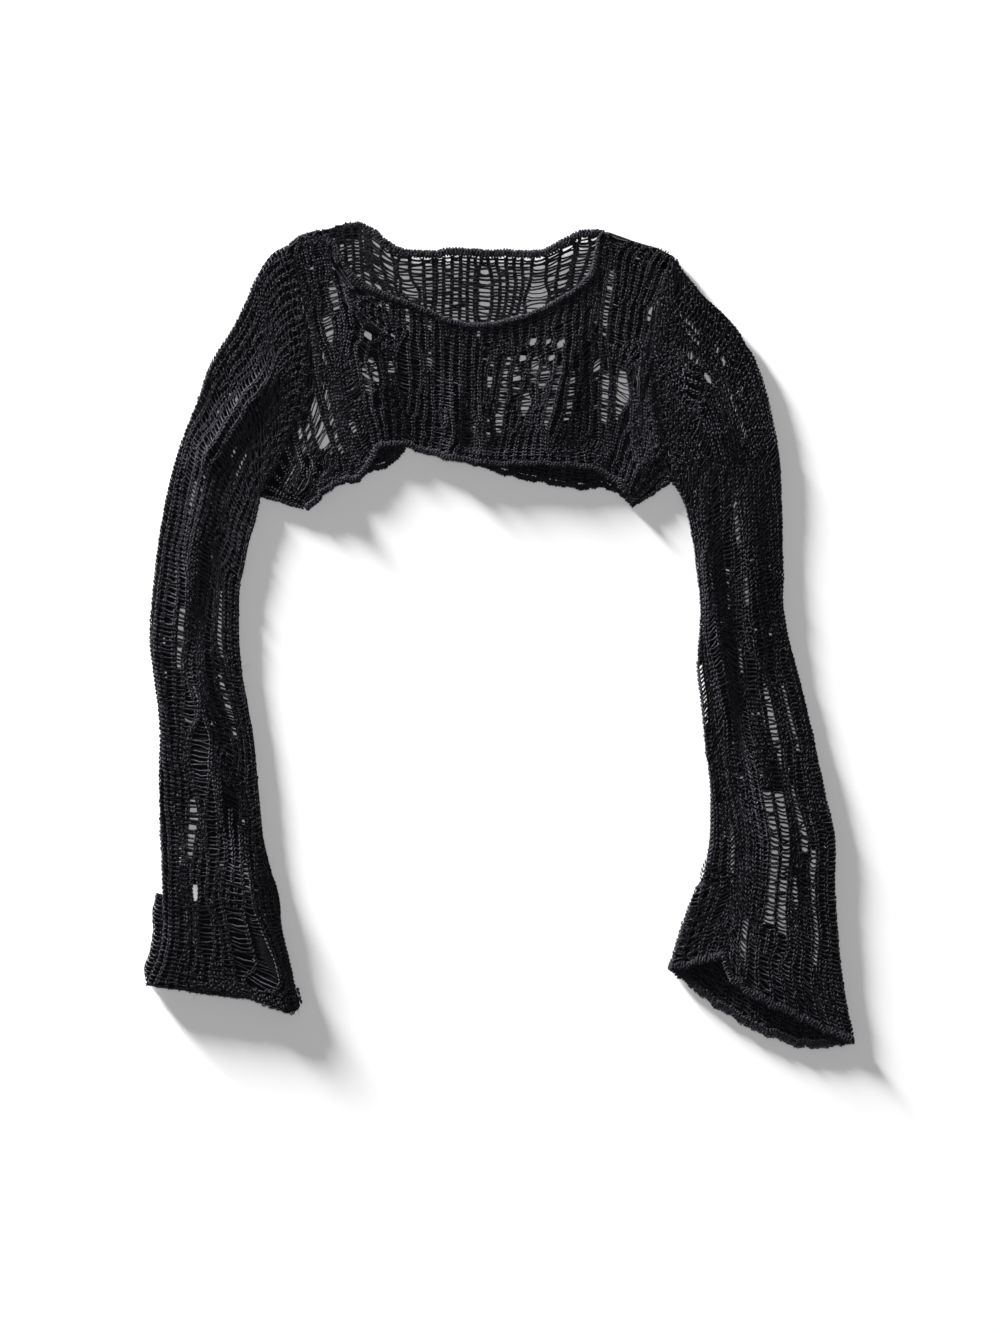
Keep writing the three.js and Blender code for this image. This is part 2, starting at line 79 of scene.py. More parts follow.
# A leg of a stitch from tip to end: along in rows, aside, out, and how far it wanders.
STITCH_LEG = [(0.6, 0.1, -0.5, 0.5), (0.22, 0.75, 0.3, 1), (-0.26, 1.5, 0.2, 1), (-0.66, 1.7, -0.7, 0.5)]
LEG_WIDE, LEG_DEEP = 0.25, 0.95
# How firmly a column keeps its place: anywhere, at a fold, at a side edge, beside a ladder.
LOOSELY, AT_FOLD, AT_EDGE, AT_LADDER = 0.04, 1.5, 5.0, 60.0
FIBRES, FIBRE_LENGTH, FIBRE_LIFT, FIBRE_WIDTH = 5200, 4.0, 0.35, 0.085
# Below this height in a sleeve most of a ladder's threads are missing.
FAR_LAYER, FAR_MISSING = 3.2, 0.85

# ---- Sleeves: outer side x, y, inner side x, y, bow to +X, lift ----
LEFT_SLEEVE = [
    (-212, 388, -240, 140, 30, 0),
    (-228, 378, -241, 137, 25, 0),
    (-244, 352, -242, 133, 19, 0),
    (-264, 310, -242, 126, 12, 0),
    (-286, 274, -243, 117, 6, 0),
    (-301, 232, -245, 107, 2, 0),
    (-316, 194, -249, 93, 0, 0),
    (-328, 154, -254, 69, 0, 0),
    (-338, 104, -257, 42, 0, 0),
    (-345, 44, -258, 6, 0, 0),
    (-348, -6, -256, -28, 0, 0),
    (-342, -56, -251, -70, 0, 0),
    (-338, -96, -244, -111, 0, 0),
    (-339, -144, -240, -156, 0, 0),
    (-338, -188, -236, -196, 0, 0),
    (-336, -226, -229, -232, 0, 3.4),
    (-335, -262, -220, -261, 0, 4.6),
    (-334, -292, -215, -296, 0, 4.6),
    (-338, -318, -209, -326, 0, 4.6),
    (-351, -348, -198, -366, 0, 4.6),
]
RIGHT_SLEEVE = [
    (172, 378, 170, 153, -19, 0),
    (188, 362, 172, 150, -16, 0),
    (204, 342, 174, 147, -13, 0),
    (229, 318, 178, 141, -9, 0),
    (247, 292, 182, 133, -5, 0),
    (262, 256, 186, 122, -2, 0),
    (272, 214, 190, 108, 0, 0),
    (279, 172, 194, 86, 0, 0),
    (281, 124, 198, 59, 0, 0),
    (282, 70, 201, 28, 0, 0),
    (284, 22, 200, 0, 0, 0),
    (292, -18, 198, -32, 0, 0),
    (303, -60, 202, -70, 0, 0),
    (312, -100, 206, -114, 0, 0),
    (322, -148, 210, -160, 0, 0),
    (334, -204, 209, -204, 0, 0),
    (334, -246, 202, -238, 0, 0),
    (337, -296, 190, -270, 0, 0),
    (342, -346, 180, -298, 0, 0),
    (353, -405, 170, -332, 0, 0),
]
# How far past the last line each layer reaches: share across, near layer, far layer.
LEFT_MOUTH = [(0, 0, 0), (0.66, 1, 1), (0.75, 7, 7), (0.93, 15, 15), (1, 3, 3)]
RIGHT_MOUTH = [
    (0, 0, 0),
    (0.12, 3, 15),
    (0.3, -2, 29),
    (0.55, -5, 29),
    (0.66, -12, 23),
    (0.74, -29, 20),
    (0.92, -8, 7),
    (0.98, 0, 0),
    (1, 0, 0),
]

# The turned-under end of the left cuff, from its bound edge to the fold.
LEFT_TURN = [
    (-343, -263, -237, -290, 0, 0),
    (-346, -279, -237, -305, 0, 0),
    (-345, -296, -241, -320, 0, 0),
    (-349, -318, -245, -340, 0, 0),
    (-354, -333, -247, -351, 0, 0),
    (-352, -347, -249, -358, 0, 0),
]
TURN_MOUTH = [(0, 0, 0), (1, 0, 0)]

# ---- Body: a share down the armhole, then the hem's x, y ----
FRONT_LEFT_ARM = [
    (1, -190, 126),
    (0.8, -179, 135),
    (0.6, -169, 145),
    (0.4, -157, 151),
    (0.2, -145, 153),
    (0, -137, 158),
]
FRONT_RIGHT_ARM = [
    (0, 106, 158),
    (0.2, 111, 154),
    (0.4, 118, 148),
    (0.6, 124, 141),
    (0.8, 129, 135),
    (1, 132, 130),
]
BACK_LEFT_ARM = [
    (1, -191, 125),
    (0.8, -180, 134),
    (0.6, -168, 147),
    (0.4, -156, 150),
    (0.2, -145, 152),
    (0, -138, 156),
]
BACK_RIGHT_ARM = [
    (0, 105, 147),
    (0.2, 112, 144),
    (0.4, 119, 140),
    (0.6, 125, 136),
    (0.8, 130, 131),
    (1, 133, 127),
]
# Lines of stitches between the armholes: top x, y, hem x, y.
FRONT_LINES = [
    (-178, 405, -130, 168),
    (-166, 396, -122, 183),
    (-154, 369, -113, 187),
    (-135, 351, -104, 188),
    (-108, 339, -96, 188),
    (-79, 328, -75, 181),
    (-49, 315, -49, 174),
    (-19, 311, -25, 170),
    (11, 316, -7, 168),
    (38, 325, 16, 168),
    (63, 338, 42, 168),
    (83, 352, 63, 167),
    (95, 368, 76, 166),
    (97, 380, 86, 165),
    (104, 402, 95, 163),
    (139, 391, 101, 160),
]
BACK_LINES = [
    (-166, 407, -130, 162),
    (-143, 412, -117, 166),
    (-129, 407, -109, 169),
    (-109, 391, -100, 179),
    (-96, 386, -91, 190),
    (-69, 384, -69, 185),
    (-44, 387, -46, 177),
    (-19, 385, -25, 170),
    (9, 385, -3, 162),
    (35, 384, 19, 156),
    (51, 388, 35, 153),
    (63, 395, 47, 151),
    (79, 403, 61, 148),
    (93, 405, 77, 146),
    (105, 403, 90, 145),
    (139, 391, 99, 147),
]
NECK_FROM, NECK_TO = 7, 20
NARROWEST = 1.0

# ---- Folds: x, y, direction from +X in degrees, length, width, height ----
FRONT_FOLDS = [
    (-182, 158, -52, 60, 10, 4),
    (-133, 265, -70, 150, 15, 4.5),
    (-46, 215, 88, 90, 9, 3),
    (-18, 205, 93, 70, 8, 2.2),
    (20, 176, -1, 170, 9, 2.5),
    (60, 245, 80, 130, 20, 3.5),
    (150, 240, -72, 110, 12, 1.8),
    (140, 165, 48, 70, 9, 1.8),
]
LEFT_SLEEVE_FOLDS = [
    (-262, 215, 52, 130, 13, 3.5),
    (-305, 80, 80, 190, 12, 3),
    (-292, -100, -82, 170, 13, 3.5),
    (-262, -200, -75, 150, 10, 3),
    (-228, -325, -62, 90, 9, 3.5),
]
RIGHT_SLEEVE_FOLDS = [
    (205, 225, -62, 110, 13, 4),
    (216, 0, -83, 230, 8, 4.5),
    (252, 60, -88, 200, 12, 3),
    (268, -180, -78, 190, 14, 3),
    (252, -345, -22, 120, 34, 3),
]

# ---- Ladders seen through both layers of the body: x, y, width, from the top down ----
BODY_HOLES = [
    [(-168, 375, 7), (-168, 363, 9)],
    [(-188, 371, 5), (-188, 362, 6)],
    [(-183, 304, 6), (-182, 297, 6)],
    [(-181, 269, 6), (-180, 261, 6)],
    [(-132, 304, 6), (-131, 294, 6)],
    [(-106, 302, 5), (-106, 296, 5)],
    [(-145, 304, 4), (-144, 301, 4)],
    [(-205, 288, 6), (-203, 282, 6)],
    [(34, 297, 9), (33, 289, 9)],
    [(49, 296, 6), (48, 289, 6)],
    [(62, 295, 9), (61, 286, 10)],
    [(22, 280, 14), (19, 272, 13)],
    [(51, 280, 14), (48, 272, 13)],
]
BODY_LADDERS = [
    [(-168, 362, 8), (-165, 349, 6), (-163, 335, 4), (-160, 311, 3.5)],
    [(-212, 357, 3), (-200, 335, 3.5), (-190, 313, 3)],
    [(-200, 351, 3), (-190, 329, 3)],
    [(-179, 337, 2.5), (-171, 310, 3.5), (-163, 275, 4)],
    [(-182, 297, 6), (-178, 283, 7), (-172, 269, 6)],
    [(-180, 261, 5), (-172, 237, 6), (-168, 213, 6), (-162, 189, 5), (-154, 177, 4)],
    [(-164, 281, 3), (-161, 253, 4), (-158, 229, 6), (-154, 209, 6), (-147, 189, 5)],
    [(-186, 240, 5), (-184, 225, 9), (-181, 208, 12), (-175, 195, 10), (-167, 181, 7)],
    [(-195, 243, 4), (-193, 232, 6), (-195, 228, 5)],
    [(-202, 213, 3), (-194, 177, 3)],
    [(-195, 213, 3), (-185, 178, 3)],
    [(-140, 279, 3), (-135, 261, 6), (-132, 239, 5)],
    [(-136, 221, 2.5), (-130, 201, 2.5)],
    [(-130, 284, 3), (-123, 262, 6), (-122, 246, 4)],
    [(-109, 275, 4), (-108, 262, 8), (-109, 252, 6)],
    [(-202, 277, 3), (-202, 261, 3)],
    [(-120, 342, 3), (-119, 321, 3)],
    [(-112, 338, 4), (-111, 318, 3)],
    [(-92, 330, 5), (-91, 300, 4)],
    [(-70, 319, 6), (-70, 302, 5)],
    [(-70, 284, 6), (-70, 263, 6)],
    [(-20, 308, 5), (-21, 295, 5)],
    [(-7, 276, 5), (-9, 258, 6), (-11, 243, 6)],
    [(10, 282, 5), (6, 258, 8), (1, 228, 8), (-2, 195, 7)],
    [(19, 271, 14), (17, 255, 14), (15, 239, 11)],
    [(48, 271, 14), (46, 258, 13), (43, 245, 11)],
    [(28, 246, 9), (27, 232, 12), (24, 219, 12)],
    [(36, 280, 5), (34, 266, 6), (32, 249, 6)],
    [(62, 272, 6), (56, 250, 8), (50, 227, 8), (46, 201, 6)],
    [(74, 264, 6), (71, 238, 7), (68, 211, 6)],
    [(96, 279, 5), (96, 259, 5)],
    [(96, 235, 6), (95, 221, 6)],
    [(108, 267, 5), (106, 240, 6), (105, 207, 6)],
    [(122, 267, 7), (121, 248, 9), (120, 232, 9), (117, 214, 8)],
    [(131, 261, 5), (135, 240, 7), (136, 219, 8), (132, 201, 8)],
    [(113, 370, 5), (111, 350, 6), (106, 320, 5), (104, 291, 3.5)],
    [(90, 275, 3), (88, 262, 4)],
    [(-25, 213, 4), (-26, 197, 4)],
    [(-11, 219, 5), (-12, 190, 5)],
    [(29, 191, 4), (28, 181, 4)],
    [(40, 194, 4), (40, 180, 5)],
    [(50, 205, 4), (50, 198, 4)],
    [(150, 325, 6), (148, 310, 7), (153, 290, 5)],
    [(154, 271, 4), (154, 262, 4)],
]

# ---- Ladders of the near layer alone: dark behind, with their threads in sight ----
FRONT_LADDERS = [
    [(-98, 290, 5), (-96, 262, 9), (-95, 236, 8)],
    [(-84, 292, 5), (-83, 262, 8), (-84, 240, 6)],
    [(-60, 318, 4), (-62, 270, 6), (-62, 225, 5)],
    [(-42, 310, 4), (-43, 262, 6), (-42, 208, 5)],
    [(-30, 300, 4), (-31, 262, 5), (-31, 226, 5)],
    [(80, 330, 4), (78, 300, 5)],
    [(146, 240, 4), (143, 200, 5)],
]

# ---- Ladders of the back where it shows alone, in the neck opening ----
NECK_LADDERS = [
    [(-158, 391, 2.5), (-156, 377, 3)],
    [(-151, 391, 3), (-149, 367, 3)],
    [(-143, 390, 3), (-141, 357, 4)],
    [(-135, 388, 3.5), (-133, 351, 4)],
    [(-126, 387, 7), (-126, 373, 8), (-124, 358, 9), (-116, 350, 16), (-112, 343, 18)],
    [(-111, 381, 8), (-110, 368, 8), (-108, 358, 5), (-107, 352, 0), (-104, 338, 0)],
    [(-97, 377, 9), (-96, 362, 9), (-94, 354, 7), (-90, 347, 14), (-88, 333, 21)],
    [(-83, 374, 9), (-83, 362, 9), (-81, 352, 6), (-78, 347, 1), (-76, 330, 1)],
    [(-70, 371, 8), (-70, 350, 8), (-71, 323, 8)],
    [(-60, 372, 5), (-61, 350, 5), (-61, 320, 5)],
    [(-51, 374, 4), (-52, 350, 4), (-53, 318, 4)],
    [(-43, 376, 5), (-43, 345, 5), (-44, 315, 5)],
    [(-35, 376, 4), (-36, 345, 4), (-36, 313, 4)],
    [(-27, 374, 5), (-28, 345, 5), (-28, 313, 5)],
    [(-16, 372, 4), (-16, 352, 12), (-16, 335, 13), (-17, 312, 10)],
    [(-8, 370, 4), (-3, 356, 3), (-4, 330, 5), (-7, 313, 4)],
    [(2, 370, 4), (5, 350, 5), (3, 330, 5), (-1, 315, 4)],
    [(10, 371, 4), (12, 350, 6), (10, 330, 5), (5, 316, 4)],
    [(18, 372, 5), (20, 350, 5), (17, 330, 5), (12, 317, 4)],
    [(26, 373, 5), (27, 352, 6), (24, 335, 5), (19, 318, 4)],
    [(40, 378, 10), (40, 365, 10), (37, 352, 12), (33, 338, 20), (31, 322, 16)],
    [(54, 379, 8), (53, 362, 9), (54, 352, 7), (57, 346, 0), (56, 330, 0)],
    [(70, 392, 10), (68, 376, 12), (64, 362, 12), (62, 350, 16), (60, 340, 12)],
    [(84, 396, 9), (83, 382, 10), (80, 368, 10), (76, 356, 9)],
    [(95, 392, 6), (93, 380, 7), (88, 368, 6)],
]

# ---- Ladders of the sleeves ----
LEFT_SLEEVE_HOLES = [
    [(-263, 256, 6), (-263, 244, 7)],
    [(-278, 119, 3), (-278, 111, 3)],
    [(-304, -249, 8), (-304, -265, 7)],
]
LEFT_SLEEVE_LADDERS = [
    [(-240, 279, 4), (-252, 261, 4)],
    [(-274, 237, 4), (-286, 213, 4)],
    [(-260, 193, 4), (-272, 169, 4)],
    [(-246, 189, 3), (-268, 145, 3.5)],
    [(-302, 157, 4), (-312, 110, 4)],
    [(-286, 94, 3), (-290, 62, 3.5)],
    [(-304, 72, 4), (-304, 52, 4)],
    [(-278, 56, 4), (-280, 14, 6), (-280, -12, 6), (-274, -32, 5)],
    [(-282, -34, 5), (-278, -50, 6), (-270, -76, 6), (-263, -118, 5)],
    [(-315, 40, 4), (-317, 11, 6), (-318, -16, 6), (-320, -40, 5)],
    [(-312, -32, 4), (-304, -54, 5), (-300, -72, 5)],
    [(-303, -2, 3), (-303, -18, 3)],
    [(-319, -88, 4), (-319, -102, 4)],
    [(-308, -158, 4), (-302, -176, 9), (-308, -202, 9), (-310, -230, 8)],
    [(-317, -160, 3), (-317, -184, 4)],
    [(-319, -202, 4), (-319, -228, 4)],
    [(-316, -244, 3), (-316, -256, 3)],
    [(-283, -134, 3), (-280, -182, 4)],
    [(-275, -218, 4), (-284, -268, 4)],
    [(-256, -176, 4), (-256, -202, 5)],
    [(-254, -220, 5), (-252, -260, 6), (-250, -270, 5)],
    [(-244, -244, 4), (-241, -264, 4)],
]
LEFT_SLEEVE_DARK = [
    [(-298, -86, 12), (-299, -110, 20), (-296, -156, 18)],
    [(-288, -140, 8), (-286, -180, 12), (-288, -220, 8)],
    [(-296, -268, 12), (-295, -300, 16), (-292, -330, 12)],
    [(-318, -268, 5), (-322, -330, 6)],
    [(-308, -268, 4), (-310, -338, 5)],
    [(-270, -276, 6), (-262, -330, 6)],
    [(-326, 60, 4), (-334, -10, 5), (-328, -110, 5)],
    [(-300, 196, 4), (-318, 120, 5)],
    [(-284, 50, 4), (-292, 0, 5), (-290, -50, 5)],
    [(-240, -290, 4), (-222, -340, 6)],
]
RIGHT_SLEEVE_HOLES = [
    [(223, 279, 10), (224, 266, 10)],
    [(207, 262, 11), (210, 250, 10)],
]
RIGHT_SLEEVE_LADDERS = [
    [(176, 324, 5), (190, 310, 6), (204, 296, 5)],
    [(182, 311, 4), (193, 297, 6), (204, 283, 5)],
    [(184, 291, 5), (196, 277, 6), (207, 264, 6)],
    [(225, 259, 7), (233, 234, 8), (242, 209, 7), (251, 186, 5)],
    [(212, 246, 7), (222, 224, 7), (228, 199, 6), (235, 134, 6), (237, 114, 5), (241, 76, 5)],
    [(180, 279, 4), (190, 263, 4)],
    [(176, 239, 4), (190, 219, 4)],
    [(188, 197, 4), (200, 173, 4)],
    [(243, 170, 5), (244, 164, 5)],
    [(255, 174, 3), (255, 144, 4)],
    [(205, 139, 3), (205, 119, 4)],
    [(246, 70, 6), (247, 44, 8), (247, 18, 6)],
    [(225, 96, 3), (228, 50, 3), (230, 10, 3)],
    [(240, -8, 5), (245, -48, 6)],
    [(249, -54, 4), (254, -94, 4)],
    [(256, 6, 4), (262, -34, 4)],
    [(263, -40, 5), (269, -66, 7), (275, -96, 11), (285, -142, 9)],
    [(270, 12, 4), (274, -10, 4)],
    [(278, -30, 4), (290, -82, 5), (303, -130, 5)],
    [(201, -22, 6), (205, -60, 7), (208, -102, 6)],
    [(224, -112, 5), (229, -142, 5), (235, -176, 5), (240, -206, 5)],
    [(228, -170, 5), (231, -248, 6)],
    [(261, -144, 5), (273, -216, 6), (271, -248, 6), (267, -302, 5)],
    [(279, -144, 5), (289, -216, 6), (284, -276, 6), (288, -312, 5)],
    [(287, -136, 5), (299, -176, 7), (304, -228, 7)],
    [(315, -200, 5), (314, -266, 6), (317, -302, 6), (314, -344, 6)],
    [(305, -140, 4), (309, -162, 4)],
    [(295, -242, 5), (295, -254, 13), (296, -268, 15), (296, -280, 6)],
    [(250, -264, 4), (243, -296, 5), (242, -332, 5)],
    [(235, -266, 4), (235, -280, 4)],
    [(255, -290, 4), (252, -332, 4)],
]
RIGHT_SLEEVE_DARK = [
    [(206, 74, 5), (210, 14, 7), (220, -38, 7), (230, -90, 5)],
    [(214, 180, 4), (218, 100, 5)],
    [(262, 150, 4), (268, 60, 5), (272, 20, 4)],
    [(226, -250, 5), (206, -330, 6)],
    [(262, -320, 4), (262, -356, 5)],
    [(276, -330, 4), (282, -360, 5)],
]


# ---- Curves through the tables ----
def spline(rows, place):
    """A table's columns at places between its rows, on a smooth curve through them."""
    rows = np.asarray(rows, float)
    last = len(rows) - 1
    place = np.asarray(place, float)
    index = np.clip(np.floor(place).astype(int), 0, last - 1)
    f = (place - index)[..., None]
    a, b, c, d = (rows[np.clip(index + k, 0, last)] for k in (-1, 0, 1, 2))
    square = 2 * a - 5 * b + 4 * c - d
    cube = 3 * b - a - 3 * c + d
    inside = 0.5 * (2 * b + (c - a) * f + square * f**2 + cube * f**3)
    beyond = rows[last] + (place - last)[..., None] * (rows[last] - rows[last - 1])
    return np.where((place > last)[..., None], beyond, inside)


def ramp(value, start, end):
    f = np.clip((value - start) / (end - start), 0, 1)
    return f * f * (3 - 2 * f)


def fold_lift(folds, x, y):
    """How much the folds raise the cloth at x, y."""
    lift = np.zeros(np.shape(x))
    for fold_x, fold_y, turn, length, width, height in folds:
        c, s = math.cos(math.radians(turn)), math.sin(math.radians(turn))
        along = ((x - fold_x) * c + (y - fold_y) * s) / (length / 2)
        aside = ((y - fold_y) * c - (x - fold_x) * s) / width
        lift += height * np.exp(-(along**4) - aside**2)
    return lift


def sleeve_plan(rows, place, across):
    out_x, out_y, in_x, in_y, bow, lift = np.moveaxis(spline(rows, place), -1, 0)
    bow = np.where(place > len(rows) - 1, 0, bow)
    x = out_x + (in_x - out_x) * across + bow * np.sin(np.pi * across)
    return x, out_y + (in_y - out_y) * across, lift


# ---- Layers of cloth: each gives points of its middle surface ----
class Panel:
    """The front or the back. u runs from the left armhole to the right, v from top to hem."""

    wraps = False

    def __init__(self, left_arm, lines, right_arm, base, folds, neck, hem):
        arms = [(LEFT_SLEEVE, left_arm), (RIGHT_SLEEVE, right_arm)]
        rows = []
        for sleeve, arm in arms:
            shares = np.array([row[0] for row in arm], float)
            x, y, _ = sleeve_plan(sleeve, np.zeros(len(arm)), shares)
            rows.append([(a, b, r[1], r[2]) for a, b, r in zip(x, y, arm)])
        self.rows = np.array(rows[0] + list(lines) + rows[1], float)
        self.last = len(self.rows) - 1
        self.arm_rows = len(left_arm) - 1
        self.left_share = [row[0] for row in left_arm]
        self.right_share = [row[0] for row in right_arm]
        self.base, self.folds, self.neck, self.hem = base, folds, neck, hem

    def ends(self, place):
        """The top and the hem of the line of stitches at each place."""
        both = spline(self.rows, place)
        top, hem = both[..., :2].copy(), both[..., 2:]
        k = self.arm_rows
        for sleeve, shares, first in (
            (LEFT_SLEEVE, self.left_share, 0),
            (RIGHT_SLEEVE, self.right_share, self.last - k),
        ):
            share = np.interp(place - first, np.arange(k + 1), shares)
            x, y, _ = sleeve_plan(sleeve, np.zeros(np.shape(place)), share)
            on_arm = (place >= first) & (place <= first + k)
            top[..., 0] = np.where(on_arm, x, top[..., 0])
            top[..., 1] = np.where(on_arm, y, top[..., 1])
        return top, hem

    def neck_width(self, place, width):
        full = ramp(place, NECK_FROM, NECK_FROM + 1) * ramp(NECK_TO - place, 0, 1)
        inside = (place >= NECK_FROM) & (place <= NECK_TO)
        return np.where(inside, NARROWEST + (width - NARROWEST) * full, 0)

    def plan(self, u, v):
        place = u * self.last
        top, hem = self.ends(place)
        line = hem - top
        length = np.linalg.norm(line, axis=-1)
        start = self.neck_width(place, self.neck) / length
        end = 1 - self.hem / length
        share = (start + (end - start) * v)[..., None]
        xy = top + line * share
        return xy[..., 0], xy[..., 1]

    def point(self, u, v):
        x, y = self.plan(u, v)
        z = self.base + WALL / 2 + fold_lift(self.folds, x, y)
        return np.stack([x, y, z], -1)

    def side(self, u):
        """Which face of a pressed layer a point is on: 1 up, -1 down."""
        return np.ones(np.shape(u))


class Sleeve:
    """A pressed tube. u runs round it from the outer side over the near layer, v to the cuff."""

    wraps = True

    def __init__(self, rows, mouth, folds, aside, shorter=0.0, pressed=PRESSED, turned=False):
        self.rows, self.folds, self.aside = rows, folds, aside
        self.pressed, self.turned = pressed, turned
        self.last = len(rows) - 1
        self.mouth = np.array(mouth, float)
        self.shorter = shorter

    def section(self, u):
        """Share across, and height from 0 to 1, of a point round the tube."""
        u = np.mod(u, 1.0)
        near = u < 0.5
        s = np.where(near, u, 1 - u) * 2
        turn = 0.02
        flat = np.clip((s - turn) / (1 - 2 * turn), 0, 1)
        rise = np.minimum(ramp(s, 0, turn), ramp(1 - s, 0, turn))
        bulge = np.sin(np.arccos(np.clip(rise, 0, 1)))
        margin = 0.012
        at_start = s < 0.5
        across = margin + (1 - 2 * margin) * flat
        across = across + np.where(at_start, -margin, margin) * bulge
        height = 0.5 + np.where(near, 0.5, -0.5) * np.sin(rise * np.pi / 2)
        return across, height

    def reach(self, across, column, radius):
        """Where a layer ends, counted in lines of the table."""
        before, end = (
            np.array(sleeve_plan(self.rows, np.full(np.shape(across), line), across)[:2])
            for line in (self.last - 1.0, float(self.last))
        )
        step = np.hypot(*(end - before))
        past = np.interp(across, self.mouth[:, 0], self.mouth[:, column]) - self.shorter - radius
        return self.last + past / step

    def turn_radius(self, across, height):
        """Half the drop where the cuff turns under, and 0 where it doesn't."""
        if not self.turned:
            return 0.0 * across
        return (TURN_RISE / 2 + (PRESSED + TURN_THICK - 2 * WALL) / 2 * height) * (
            1 - ramp(across, 0.6, 0.72)
        )

    def point(self, u, v):
        across, height = self.section(u)
        radius = self.turn_radius(across, height)
        end = self.reach(across, 2, radius) * (1 - height) + self.reach(across, 1, radius) * height
        bend = np.clip((v - 1) / TURN_SHARE + 1, 0, 1) * np.pi if self.turned else 0.0 * v
        straight = np.clip(v / (1 - TURN_SHARE), 0, 1) if self.turned else v
        place = straight * end + radius * np.sin(bend) / LINE_STEP
        x, y, lift = sleeve_plan(self.rows, place, across)
        lift = np.clip(lift, 0, TURN_THICK + SEAM_GAP) * (1 - ramp(across, 0.84, 1))
        crown = fold_lift(self.folds, x, y)
        share = np.where(height > 0.5, 1 / 3 + (height - 0.5) * 4 / 3, height * 2 / 3)
        z = lift + WALL / 2 + height * (self.pressed - WALL) + crown * share * (bend == 0)
        z = z - radius * (1 - np.cos(bend))
        return np.stack([x + self.aside, y, z], -1)

    def side(self, u):
        return np.where(np.mod(u, 1.0) < 0.5, 1, -1)


